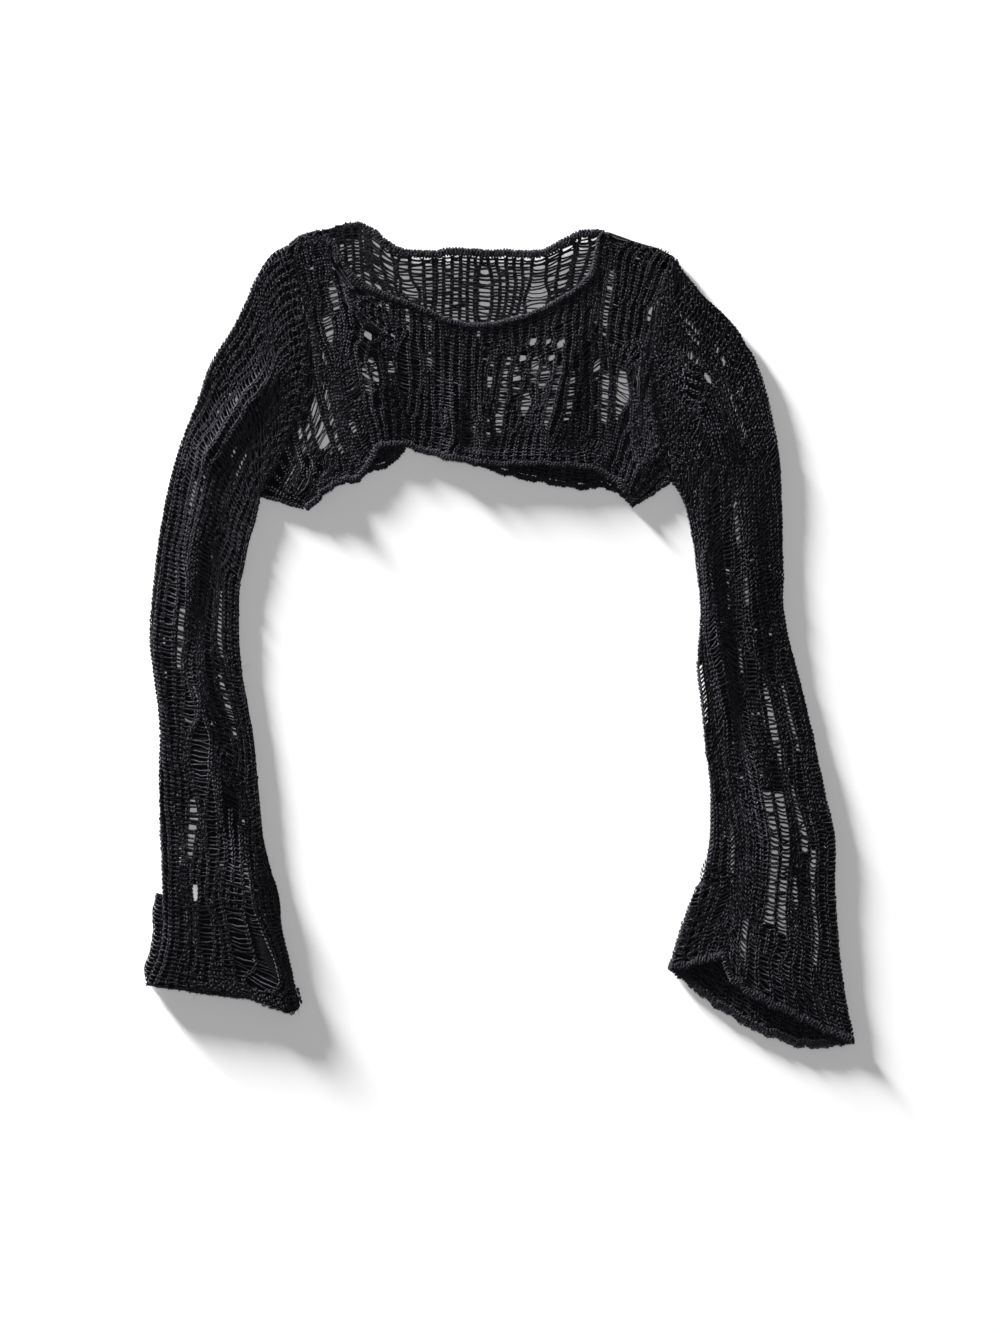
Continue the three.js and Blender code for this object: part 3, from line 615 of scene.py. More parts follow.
# ---- Columns of stitches over a layer ----
class Knit:
    """The columns of a layer, pushed aside where ladders open between them."""

    FINE = 600

    def __init__(self, layer, stations, columns, row_height, crowd=None):
        self.layer, self.row_height, self.columns = layer, row_height, columns
        self.v = np.linspace(0, 1, stations)
        self.u = np.linspace(0, 1, self.FINE + 1)
        u, v = np.meshgrid(self.u, self.v)
        self.points = layer.point(u, v)
        du = np.gradient(self.points, axis=1)
        dv = np.gradient(self.points, axis=0)
        tangent = dv / np.maximum(np.linalg.norm(dv, axis=-1, keepdims=True), 1e-9)
        sideways = du - (du * tangent).sum(-1, keepdims=True) * tangent
        width = np.linalg.norm(sideways, axis=-1)
        step = (width[:, 1:] + width[:, :-1]) / 2
        self.across = np.concatenate([np.zeros((stations, 1)), np.cumsum(step, 1)], 1)
        if crowd is None:
            mean = self.across[stations // 6 : -stations // 6].mean(0)
        else:
            mean = np.concatenate([[0], np.cumsum(step[stations // 7] * crowd(self.u[1:]))])
        share = (np.arange(columns) + (0.0 if layer.wraps else 0.5)) / columns
        self.base_u = np.interp(share * mean[-1], mean, self.u)
        self.base = np.stack([np.interp(self.base_u, self.u, row) for row in self.across])
        self.gaps = columns if layer.wraps else columns - 1
        self.open = np.zeros((stations, self.gaps), bool)
        self.bare = np.zeros((stations, self.gaps), bool)
        self.dark = np.zeros((stations, self.gaps), bool)
        self.ladders = []

    def locate(self, x, y, side):
        """The u and v of the point of one face that lies nearest to x, y."""
        on_side = self.layer.side(self.u) == side
        gap = np.hypot(self.points[..., 0] - x, self.points[..., 1] - y)
        gap = np.where(on_side[None, :], gap, np.inf)
        i, j = np.unravel_index(np.argmin(gap), gap.shape)
        return self.u[j], self.v[i]

    def add(self, ladders, side=1, opened=True, bare=False, wider=0.0, scale=1.0):
        for ladder in ladders:
            spots = [(*self.locate(x, y, side), w * scale + wider) for x, y, w in ladder]
            spots.sort(key=lambda spot: spot[1])
            u, v, w = (np.array(column) for column in zip(*spots))
            v = v + np.arange(len(v)) * 1e-6
            at = np.clip(self.v, v[0], v[-1])
            path_u = np.interp(at, v, u)
            centre = np.array([np.interp(a, self.u, row) for a, row in zip(path_u, self.across)])
            length = np.linalg.norm(np.diff(self.points[:, self.FINE // 2], axis=0), axis=1).sum()
            fade = 14.0 / length
            act = ramp(self.v, v[0] - fade, v[0]) * ramp(-self.v, -v[-1] - fade, -v[-1])
            inward = np.minimum(self.v - v[0], v[-1] - self.v) * length
            oval = np.sqrt(np.clip(inward / max(inward.max(), 1e-3), 0, 1))
            taper = 0.3 + 0.7 * (oval if bare else ramp(inward, -1.0, 10.0))
            self.ladders.append(
                {
                    "centre": centre,
                    "width": np.interp(at, v, w) * taper,
                    "act": act,
                    "inside": (self.v >= v[0] - 1e-4) & (self.v <= v[-1] + 1e-4),
                    "open": opened,
                    "bare": bare,
                    "middle": float(np.interp((v[0] + v[-1]) / 2, v, u)),
                    "from": v[0] - fade / 3,
                    "to": v[-1] + fade / 3,
                }
            )

    def assign(self):
        """Gives each ladder its gap: in order across, the same where one follows another."""
        every = self.ladders
        for one in every:
            at = self.middle_row(one["from"], one["to"])
            index = np.interp(one["centre"][at], self.base[at], np.arange(self.columns))
            one["gap"] = index - 0.5
        apart, tied = [], []
        for n, one in enumerate(every):
            for other in every[:n]:
                low, high = max(one["from"], other["from"]), min(one["to"], other["to"])
                at = self.middle_row(low, high)
                pitch = self.across[at, -1] / self.columns
                shift = (one["centre"][at] - other["centre"][at]) / pitch
                if high > low and abs(shift) < 3:
                    apart.append((other, one) if shift > 0 else (one, other))
                elif low - high < 0.08 and abs(shift) < 0.8:
                    tied.append((other, one))
        for _ in range(200):
            for one, other in tied:
                middle = (one["gap"] + other["gap"]) / 2
                one["gap"] += (middle - one["gap"]) * 0.5
                other["gap"] += (middle - other["gap"]) * 0.5
            for one, other in apart:
                short = 1 - (other["gap"] - one["gap"])
                if short > 0:
                    one["gap"] -= short / 2
                    other["gap"] += short / 2
        shares = sorted(every, key=lambda one: one["gap"])
        follows = {(id(one), id(other)) for one, other in apart}
        done = {}
        for one in shares:
            gap = int(round(one["gap"]))
            for other_id, other_gap in done.items():
                if (other_id, id(one)) in follows and other_gap >= gap:
                    gap = other_gap + 1
            one["gap"] = max(0, min(gap, self.gaps - 1))
            done[id(one)] = one["gap"]

    def middle_row(self, low, high):
        return int(np.argmin(np.abs(self.v - np.clip((low + high) / 2, 0, 1))))

    def settle(self):
        """Places the columns: springs between them, pinned where a ladder holds them apart."""
        self.assign()
        place = self.spring_places()
        shift = place - self.base
        kernel = np.exp(-np.linspace(-2, 2, 7) ** 2)
        kernel /= kernel.sum()
        stations = len(self.v)
        padded = np.pad(shift, ((3, 3), (0, 0)), mode="edge")
        place = self.base + sum(k * padded[i : i + stations] for i, k in enumerate(kernel))
        for _ in range(12):
            push = np.clip(WALE_WIDTH * 0.62 - np.diff(place, axis=1), 0, None) / 2
            place[:, :-1] -= push
            place[:, 1:] += push
        if not self.layer.wraps:
            margin = 0.6 * WALE_WIDTH
            place = np.clip(place, margin, self.across[:, -1:] - margin)
        self.place = place
        self.hide_squeezed()
        self.fill_gaps()

    def spring_places(self):
        """Solves for the columns, one small system for each station."""
        count = self.columns
        total = self.across[:, -1]
        matrix = np.zeros((len(self.v), count, count))
        right = np.zeros((len(self.v), count))
        steps = np.arange(count)
        anchor = np.full(count, LOOSELY)
        if self.layer.wraps:
            off_fold = np.abs(np.mod(self.base_u + 0.25, 0.5) - 0.25)
            anchor[off_fold < 0.03] = AT_FOLD
        else:
            anchor[[0, -1]] = AT_EDGE
        matrix[:, steps, steps] += anchor
        right += anchor * self.base
        pairs = [(j, (j + 1) % count) for j in range(self.gaps)]
        for a, b in pairs:
            turn = total if b == 0 else 0.0
            rest = self.base[:, b] + turn - self.base[:, a]
            for row, col, sign in ((a, a, 1), (b, b, 1), (a, b, -1), (b, a, -1)):
                matrix[:, row, col] += sign
            right[:, b] += rest - turn
            right[:, a] -= rest - turn
        for one in self.ladders:
            a, b = pairs[one["gap"]]
            turn = total if b == 0 else 0.0
            half = (one["width"] + WALE_WIDTH) / 2
            weight = AT_LADDER * one["act"]
            matrix[:, a, a] += weight
            matrix[:, b, b] += weight
            right[:, a] += weight * (one["centre"] - half)
            right[:, b] += weight * (one["centre"] + half - turn)
            self.mark(one)
        return np.linalg.solve(matrix, right[..., None])[..., 0]

    def mark(self, ladder):
        """Marks a ladder's gap as open, bare or dark along its length."""
        gap = ladder["gap"]
        wide = ladder["inside"] & (ladder["width"] > NARROWEST_OPEN)
        if ladder["open"]:
            self.open[:, gap] |= wide
        else:
            self.dark[:, gap] |= ladder["inside"]
        if ladder["bare"]:
            self.bare[:, gap] |= wide

    def hide_squeezed(self):
        """Leaves out a column where it would lie on the one before it."""
        self.shown = np.ones(self.place.shape, bool)
        before = self.place[:, 0].copy()
        for j in range(1, self.columns):
            self.shown[:, j] = self.place[:, j] - before > SQUEEZED * WALE_WIDTH
            before = np.where(self.shown[:, j], self.place[:, j], before)
        self.shown = long_runs(self.shown)

    def fill_gaps(self):
        """Extra columns where a closed gap is wide enough for them."""
        places, shown = [], []
        lines = list(self.place.T)
        closed = list(~(self.open | self.dark).T[: self.columns - 1])
        pairs = list(zip(lines, lines[1:], closed))
        if not self.layer.wraps:
            total = self.across[:, -1]
            pairs.append((0 * total - WALE_WIDTH, lines[0], True))
            pairs.append((lines[-1], total + WALE_WIDTH, True))
        for left, right, fillable in pairs:
            wide = right - left
            for count, low, high in EXTRA_COLUMNS:
                mask = long_runs((fillable & (wide > low) & (wide <= high))[:, None])[:, 0]
                for k in range(count if mask.any() else 0):
                    places.append(left + wide * (k + 1) / (count + 1))
                    shown.append(mask)
        self.extra = np.array(places).T if places else None
        self.extra_shown = np.array(shown).T if places else None

    def u_at(self, place):
        """Turns distances across, one row for each station, into u."""
        if self.layer.wraps:
            turns = np.floor(place / self.across[:, -1:])
            rest = place - turns * self.across[:, -1:]
            inside = np.stack([np.interp(p, row, self.u) for p, row in zip(rest, self.across)])
            return inside + turns
        return np.stack([np.interp(p, row, self.u) for p, row in zip(place, self.across)])

    def frames(self, u):
        """Points, along, across and outward directions at u, one row for each station."""
        v = np.repeat(self.v[:, None], u.shape[1], 1)
        points = self.layer.point(u, v)
        small = 0.002
        after, before = u + small, u - small
        if not self.layer.wraps:
            after, before = np.clip(after, 0, 1), np.clip(before, 0, 1)
        du = self.layer.point(after, v) - self.layer.point(before, v)
        along = unit(np.gradient(points, axis=0))
        out = unit(np.cross(du, along))
        flip = np.sign(out[..., 2]) * np.where(self.layer.side(u) > 0, 1, -1)
        out = out * np.where(flip == 0, 1, flip)[..., None]
        across = unit(np.cross(along, out))
        return points, along, across, out


def long_runs(mask):
    """A mask down the stations with its short runs left out, which would show as loose bits."""
    kept = mask.copy()
    for column in kept.T:
        ends = np.flatnonzero(np.diff(np.concatenate([[0], column.astype(int), [0]])))
        for start, end in zip(ends[::2], ends[1::2]):
            if end - start < LEAST_RUN:
                column[start:end] = False
    return kept


def unit(vectors):
    return vectors / np.maximum(np.linalg.norm(vectors, axis=-1, keepdims=True), 1e-9)


def along_line(points, pitch, *fields):
    """Fields taken at even steps down a polyline."""
    step = np.linalg.norm(np.diff(points, axis=0), axis=1)
    length = np.concatenate([[0], np.cumsum(step)])
    count = max(1, int(length[-1] / pitch))
    at = (np.arange(count) + 0.5) * (length[-1] / count)
    index = np.interp(at, length, np.arange(len(points)))
    low = np.clip(index.astype(int), 0, len(points) - 2)
    f = index - low
    taken = []
    for field in (points, *fields):
        g = f.reshape(f.shape + (1,) * (field.ndim - 1))
        taken.append(field[low] * (1 - g) + field[low + 1] * g)
    return taken


# ---- Meshes ----
class Pile:
    """Vertices and faces gathered for one mesh."""

    def __init__(self):
        self.vertices, self.faces, self.count = [], [], 0

    def add(self, vertices, faces):
        vertices = np.asarray(vertices, float).reshape(-1, 3)
        self.vertices.append(vertices)
        self.faces.append(np.asarray(faces) + self.count)
        self.count += len(vertices)

    def mesh(self, name, material):
        vertices = np.concatenate(self.vertices) * MM
        corners = [face for block in self.faces for face in block]
        return made(name, vertices, corners, material)


def made(name, vertices, faces, material):
    """A mesh object from arrays, pressed flat at the floor, its unused vertices left out."""
    sizes = np.array([len(face) for face in faces])
    loops = np.concatenate([np.asarray(face) for face in faces]).astype(np.int64)
    used, loops = np.unique(loops, return_inverse=True)
    vertices[:, 2] = np.maximum(vertices[:, 2], 0.0)
    mesh = bpy.data.meshes.new(name)
    mesh.vertices.add(len(used))
    mesh.vertices.foreach_set("co", vertices[used].astype(np.float32).ravel())
    mesh.loops.add(len(loops))
    mesh.loops.foreach_set("vertex_index", loops.astype(np.int32).ravel())
    mesh.polygons.add(len(sizes))
    starts = np.concatenate([[0], np.cumsum(sizes)[:-1]])
    mesh.polygons.foreach_set("loop_start", starts.astype(np.int32))
    mesh.polygons.foreach_set("use_smooth", np.full(len(sizes), True))
    mesh.update(calc_edges=True)
    mesh.validate()
    mesh.materials.append(material)
    piece = bpy.data.objects.new(name, mesh)
    bpy.context.scene.collection.objects.link(piece)
    return piece


def tube_quads(rings, sides):
    """Faces between rings of a tube, with its vertices counted ring by ring."""
    quads = []
    for r in range(rings - 1):
        for k in range(sides):
            m = (k + 1) % sides
            a = r * sides
            quads.append((a + k, a + m, a + sides + m, a + sides + k))
    return quads


def add_spindles(pile, rings, sides, radius_a, radius_b, side_a, side_b):
    """Many small bodies at once. rings: (n, rings, 3) centre lines, pointed at both ends."""
    n, count, _ = rings.shape
    angle = np.arange(sides) * 2 * np.pi / sides + np.pi / sides
    ca, sa = np.cos(angle), np.sin(angle)
    middle = rings[:, 1:-1, None, :]
    off = (
        ca[None, None, :, None] * side_a[:, None, None, :] * radius_a[:, :, None, None]
        + sa[None, None, :, None] * side_b[:, None, None, :] * radius_b[:, :, None, None]
    )
    body = (middle + off).reshape(n, -1, 3)
    vertices = np.concatenate([rings[:, :1], body, rings[:, -1:]], 1)
    per = vertices.shape[1]
    tris, quads = [], []
    for k in range(sides):
        m = (k + 1) % sides
        tris.append((0, 1 + m, 1 + k))
        base = 1 + (count - 3) * sides
        tris.append((per - 1, base + k, base + m))
        for r in range(count - 3):
            a = 1 + r * sides
            quads.append((a + k, a + m, a + sides + m, a + sides + k))
    offset = (np.arange(n) * per)[:, None, None]
    start = pile.count
    pile.vertices.append(vertices.reshape(-1, 3))
    pile.count += n * per
    pile.faces.append((np.array(tris)[None] + offset).reshape(-1, 3) + start)
    if quads:
        pile.faces.append((np.array(quads)[None] + offset).reshape(-1, 4) + start)


def add_threads(pile, lines, radius, sides=3):
    """Many thin threads at once. lines: (n, points, 3)."""
    n, count, _ = lines.shape
    along = unit(np.gradient(lines, axis=1))
    up = np.zeros_like(along)
    up[..., 2] = 1
    side_a = unit(np.cross(along, up))
    side_b = np.cross(side_a, along)
    angle = np.arange(sides) * 2 * np.pi / sides + np.pi / 2
    off = (
        np.cos(angle)[None, None, :, None] * side_a[:, :, None, :]
        + np.sin(angle)[None, None, :, None] * side_b[:, :, None, :]
    ) * np.asarray(radius)[:, None, None, None]
    vertices = (lines[:, :, None, :] + off).reshape(n, -1, 3)
    quads = np.array(tube_quads(count, sides))
    offset = (np.arange(n) * count * sides)[:, None, None]
    pile.faces.append((quads[None] + offset).reshape(-1, 4) + pile.count)
    pile.vertices.append(vertices.reshape(-1, 3))
    pile.count += n * count * sides


# ---- The yarn of a layer ----
def all_stitches(knit, pile, frames, light_sides):
    column_stitches(knit, pile, frames, knit.base_u, knit.shown, light_sides)
    if knit.extra is not None:
        u = knit.u_at(knit.extra)
        column_stitches(knit, pile, knit.frames(u), u.mean(0), knit.extra_shown, light_sides)


def column_stitches(knit, pile, frames, where, mask, light_sides):
    """A chain of two-legged stitches down every column."""
    points, along, across, out = frames
    for j in range(points.shape[1]):
        shown = mask[:, j].astype(float)
        p, t, a, n, seen = along_line(
            points[:, j], knit.row_height, along[:, j], across[:, j], out[:, j], shown
        )
        p, t, a, n = (one[seen > 0.5] for one in (p, t, a, n))
        if not len(p):
            continue
        t, a, n = unit(t), unit(a), unit(n)
        h = knit.row_height
        sides = 3 if knit.layer.side(where[j : j + 1])[0] in light_sides else 4
        for hand in (-1, 1):
            wobble = RANDOM.normal(0, 0.24, (len(p), 3))
            fat = RANDOM.uniform(0.78, 1.2, (len(p), 1))
            rings = [
                p + t * (down * h) + a * (hand * aside) + n * rise + wobble * wander
                for down, aside, rise, wander in STITCH_LEG
            ]
            rings = np.stack(rings, 1)
            wide = np.repeat(fat * WALE_WIDTH * LEG_WIDE, 2, 1)
            deep = np.repeat(fat * LEG_DEEP, 2, 1)
            slant = unit(a - t * (hand * 0.35))
            add_spindles(pile, rings, sides, wide, deep, slant, n)


def cross_threads(knit, pile, frames, rung, missing=None):
    """The threads that cross every gap, sagging a little towards the hem or cuff."""
    points, along, across, out = frames
    for g in range(knit.gaps):
        a, b = g, (g + 1) % knit.columns
        middle = (points[:, a] + points[:, b]) / 2
        flags = np.stack([knit.open[:, g], knit.bare[:, g]], 1).astype(float)
        ends = (points[:, a], points[:, b], along[:, a], across[:, a], across[:, b], out[:, a])
        mid, pa, pb, t, ca, cb, n, flag = along_line(middle, knit.row_height, *ends, flags)
        kept = flag[:, 1] < 0.5
        if missing is not None:
            kept &= ~((flag[:, 0] > 0.5) & (RANDOM.random(len(mid)) < missing(mid)))
        if not kept.any():
            continue
        pa, pb, t, ca, cb, n, flag = (one[kept] for one in (pa, pb, t, ca, cb, n, flag))
        add_cross(pile, pa, pb, t, ca, cb, n, flag[:, 0] > 0.5, rung)


def add_cross(pile, pa, pb, t, ca, cb, n, opened, rung):
    wide = np.linalg.norm(pb - pa, axis=1, keepdims=True)
    sag = RANDOM.normal(0.06, 0.07, (len(pa), 1)) * wide
    tilt = RANDOM.normal(0, 0.05, (len(pa), 1)) * wide
    drop = np.where(opened, 0.0, 0.1)[:, None]
    edge = WALE_WIDTH * 0.36
    start = pa + ca * edge - t * tilt - n * drop
    end = pb - cb * edge + t * tilt - n * drop
    radius = RANDOM.uniform(0.75, 1.2, len(pa)) * rung
    radius = radius * np.clip(14 / wide[:, 0], np.where(opened, 0.45, 0.8), 1)
    for chosen, shares in ((opened, (0, 0.33, 0.67, 1.0)), (~opened, (0, 0.5, 1.0))):
        if not chosen.any():
            continue
        shares = np.array(shares)
        part = shares[None, :, None]
        lines = start[chosen][:, None] * (1 - part) + end[chosen][:, None] * part
        bend = (4 * shares * (1 - shares))[None, :, None]
        lines = lines + (t * sag)[chosen][:, None] * bend
        lines = lines - n[chosen][:, None] * bend * 0.15
        add_threads(pile, lines, radius[chosen])


def web_lines(knit):
    """Where the lines of the web run: both sides of every column, and a panel's side edges."""
    half = WALE_WIDTH * 0.42
    edges = np.stack([knit.place - half, knit.place + half], -1).reshape(len(knit.v), -1)
    if knit.layer.wraps:
        return knit.u_at(edges)
    total = knit.across[:, -1:]
    edges = np.maximum.accumulate(edges, 1)
    edges = np.concatenate([0 * total, edges, total], 1)
    return knit.u_at(np.clip(edges, 0, total))


def web_cells(knit, points, u, opened, loose):
    """Which cells of the web are there. Ladders and loose spots leave some out."""
    stations, lines = u.shape
    wraps = knit.layer.wraps
    strips = lines if wraps else lines - 1
    solid = np.ones((stations - 1, strips), bool)
    first = 1 if wraps else 2
    in_gap = ((np.arange(strips) % 2) == (first % 2))[None, :]
    for g in range(knit.gaps):
        here = knit.open[:, g]
        solid[:, (first + 2 * g) % strips] &= ~(here[:-1] & here[1:])
    if opened is not None:
        centre = (points[:-1] + points[1:]) / 2
        middle = (centre[:, :strips] + np.roll(centre, -1, 1)[:, :strips]) / 2
        solid &= ~(opened(middle) & in_gap)
    middle = (points[:-1, :strips] + np.roll(points, -1, 1)[:-1, :strips]) / 2
    cloudy = np.sin(middle[..., 0] * 0.061 + 1.3) * np.sin(middle[..., 1] * 0.047 + 0.4)
    upper = knit.layer.side(u[:-1, :strips]) > 0
    chance = np.where(upper, loose[0] * (1 + 0.9 * cloudy), loose[1])
    chance = chance * (knit.v[:-1, None] < 0.9) * (knit.v[:-1, None] > 0.05)
    if wraps:
        chance = chance * (np.abs(np.mod(u[:-1, :strips], 0.5) - 0.25) < 0.2)
    return solid & ~((RANDOM.random(solid.shape) < chance) & in_gap)


def shell_faces(solid, lines, wraps):
    """The faces of a closed shell: upper and lower face of each cell, and walls at open sides."""
    stations, strips = solid.shape[0] + 1, solid.shape[1]
    low = stations * lines
    i, j = np.nonzero(solid)
    nxt = (j + 1) % lines
    a, b = i * lines + j, i * lines + nxt
    c, d = (i + 1) * lines + nxt, (i + 1) * lines + j
    faces = [np.stack([a, d, c, b], 1), np.stack([a, b, c, d], 1) + low]
    grid = np.zeros((stations + 1, strips + 2), bool)
    grid[1:-1, 1:-1] = solid
    if wraps:
        grid[1:-1, 0], grid[1:-1, -1] = solid[:, -1], solid[:, 0]
    sides = (
        (grid[1:-1, :-2], a, d),
        (grid[1:-1, 2:], c, b),
        (grid[:-2, 1:-1], b, a),
        (grid[2:, 1:-1], d, c),
    )
    for beside, p, q in sides:
        bare = ~beside[i, j]
        faces.append(np.stack([p[bare], q[bare], q[bare] + low, p[bare] + low], 1)[:, ::-1])
    return np.concatenate(faces)


def web(knit, name, material, opened=None, loose=(0.0, 0.0), sunk=SUNK):
    """A closed thin shell under the columns, with holes where ladders are open. Its dark colour is
    painted shade between the columns and behind the ladders that stay closed.
    """
    u = web_lines(knit)
    points, _, _, out = knit.frames(u)
    solid = web_cells(knit, points, u, opened, loose)
    bumps = 0.12 * np.sin(points[..., 0] * 2.1) * np.sin(points[..., 1] * 1.7)
    middle = points - out * np.where(knit.layer.side(u) > 0, sunk, 0.0)[..., None]
    top = middle + out * (WEB_THICK / 2 + bumps[..., None])
    under = middle - out * (WEB_THICK / 2 - bumps[..., None])
    vertices = np.concatenate([top.reshape(-1, 3), under.reshape(-1, 3)]) * MM
    faces = shell_faces(solid, u.shape[1], knit.layer.wraps)
    return made(name, vertices, faces.tolist(), material)


# ---- Edgings ----
def edging(name, centre, across, out, widths, thick, material, wavy=0.3, rib=RIB):
    """A rolled edge: an uneven oval rope with ribs of yarn over it."""
    step = np.linalg.norm(np.diff(centre, axis=0), axis=1)
    length = np.concatenate([[0], np.cumsum(step)])
    waves = np.sin(length * 0.23) + 0.7 * np.sin(length * 0.41 + 2) + 0.5 * np.sin(length * 0.83)
    ends = ramp(length, 0, 12) * ramp(length[-1] - length, 0, 12)
    centre = centre + across * (waves * ends * wavy)[:, None]
    along = unit(np.gradient(centre, axis=0))
    half = np.asarray(widths)[:, None] / 2
    high = thick / 2
    sides = 10
    angle = np.arange(sides) * 2 * np.pi / sides
    ripple = 1 + 0.1 * np.sin(length * 0.55)[:, None] + 0.08 * np.sin(length * 0.93 + 1)[:, None]
    ring = (
        centre[:, None]
        + across[:, None] * (np.cos(angle)[None] * half * ripple * 0.86)[..., None]
        + out[:, None] * (np.sin(angle)[None] * high * 0.8 * ripple)[..., None]
    )
    pile = Pile()
    count = len(centre)
    vertices = np.concatenate([ring.reshape(-1, 3), centre[:1], centre[-1:]])
    tris = []
    first, final = count * sides, count * sides + 1
    for k in range(sides):
        m = (k + 1) % sides
        tris.append((first, m, k))
        tris.append((final, (count - 1) * sides + k, (count - 1) * sides + m))
    pile.add(vertices, tube_quads(count, sides))
    pile.faces.append(np.array(tris))
    loops_round_rope(pile, centre, along, across, out, half, high, rib)
    return pile.mesh(name, material)


def loops_round_rope(pile, centre, along, across, out, half, high, rib):
    """Ribs of yarn laid over the rope, from its inner to its outer side."""
    for row, level in enumerate(np.radians((-15, 25, 68, 112, 155, 195))):
        p, t, a, n, w = along_line(centre, rib, along, across, out, half)
        t, a, n = unit(t), unit(a), unit(n)
        face = unit(a * (math.cos(level) / np.maximum(w, 0.3)) + n * (math.sin(level) / high))
        spot = p + a * (math.cos(level) * w * 0.86) + n * (math.sin(level) * high * 0.8)
        spot = spot + t * RANDOM.normal(0, 0.35, (len(p), 1)) + t * (0.7 * (row % 2))
        reach = unit(np.cross(face, t)) * (0.5 * w + 0.2) + t * RANDOM.normal(0.5, 0.3, (len(p), 1))
        wobble = RANDOM.normal(0, 0.16, (len(p), 3))
        ends = ((-1.0, -0.5), (-0.4, 0.25), (0.4, 0.25), (1.0, -0.5))
        rings = np.stack([spot + reach * k + face * rise for k, rise in ends], 1)
        rings[:, 1:3] += wobble[:, None]
        fat = RANDOM.uniform(0.8, 1.25, (len(p), 1))
        wide, deep = np.repeat(fat * 0.95, 2, 1), np.repeat(fat * 0.62, 2, 1)
        add_spindles(pile, rings, 4, wide, deep, t, face)


def band_path(panel, places, inset, from_hem):
    """The middle line of an edging along the neck or the hem."""
    top, hem = panel.ends(places)
    step = unit(hem - top) * np.asarray(inset)[:, None]
    return hem - step if from_hem else top + step


def oriented(xy, z):
    """Centre line with level across directions and upright out directions."""
    centre = np.concatenate([xy, np.asarray(z)[:, None]], 1)
    along = unit(np.gradient(centre, axis=0))
    out = np.zeros_like(centre)
    out[:, 2] = 1
    across = unit(np.cross(along, out))
    return centre, across, out


def neck_edge(name, panel, width, thick, material):
    places = np.linspace(NECK_FROM, NECK_TO, 180)
    widths = panel.neck_width(places, width)
    xy = band_path(panel, places, widths / 2, False)
    ends = ramp(places, NECK_FROM + 0.2, NECK_FROM + 2) * ramp(NECK_TO - places, 0.2, 2)
    high = WALL + (thick - WALL) * ends
    z = panel.base + high / 2 + fold_lift(panel.folds, xy[:, 0], xy[:, 1])
    widths = np.maximum(widths, 1.6)
    return edging(name, *oriented(xy, z), widths, thick * 0.95, material)


def hem_edge(name, panel, width, thick, material):
    places = np.linspace(0, panel.last, 260)
    xy = band_path(panel, places, np.full(len(places), width / 2), True)
    z = panel.base + thick / 2 + fold_lift(panel.folds, xy[:, 0], xy[:, 1])
    widths = np.full(len(places), width)
    return edging(name, *oriented(xy, z), widths, thick * 0.95, material, 0.7)


def cuff_ring(layer, inset, at=1.0, back_to=0.99, count=260):
    """A closed line round a sleeve at one of its ends, a distance past it."""
    u = np.linspace(0, 1, count)
    end = layer.point(u, np.full(count, at))
    back = layer.point(u, np.full(count, back_to))
    along = unit(end - back)
    centre = end + along * inset
    round_it = unit(np.gradient(centre, axis=0))
    out = unit(np.cross(round_it, along))
    flip = np.where(np.sign(out[:, 2]) * layer.side(u) < 0, -1, 1)
    return centre, along, out * flip[:, None]


# ---- Fuzz ----
def hairs(name, spots, normals, count, length, material):
    """Fine stray fibres standing a little off the cloth."""
    pick = RANDOM.integers(0, len(spots), count)
    start, up = spots[pick], normals[pick]
    way = RANDOM.normal(0, 1, (count, 3))
    way = unit(way - (way * up).sum(1, keepdims=True) * up)
    curl = RANDOM.normal(0, 0.5, (count, 3)) * 0.6
    size = RANDOM.gamma(2.2, length / 2.2, (count, 1)).clip(1.0, 3.2 * length)
    steps = np.linspace(0, 1, 4)
    rise = RANDOM.uniform(0.1, 1.0, (count, 1)) * FIBRE_LIFT
    lines = (
        start[:, None]
        + way[:, None] * (size[:, None] * steps[None, :, None])
        + unit(curl)[:, None] * (size[:, None] * 0.35 * (steps**2)[None, :, None])
        + up[:, None] * (rise[:, None] * size[:, None] * np.sin(steps * 2.6)[None, :, None] * 0.5)
    )
    along = unit(np.gradient(lines, axis=1))
    side = unit(np.cross(along, up[:, None] + 0.01))
    taper = np.array([1.0, 0.85, 0.7, 0.25])
    off = side * (FIBRE_WIDTH * taper)[None, :, None]
    vertices = np.stack([lines - off, lines + off], 2).reshape(-1, 3)
    quads = np.array([(2 * k, 2 * k + 1, 2 * k + 3, 2 * k + 2) for k in range(3)])
    offset = (np.arange(count) * 8)[:, None, None]
    faces = (quads[None] + offset).reshape(-1, 4)
    return made(name, vertices * MM, faces.tolist(), material)


# ---- Materials ----
def fill(made_node, inputs):
    for key, value in inputs.items():
        made_node.inputs[key].default_value = value


def node(tree, kind, inputs, **settings):
    """A shader node with its settings and its sockets filled in."""
    made_node = tree.nodes.new(kind)
    for key, value in settings.items():
        setattr(made_node, key, value)
    fill(made_node, inputs)
    return made_node


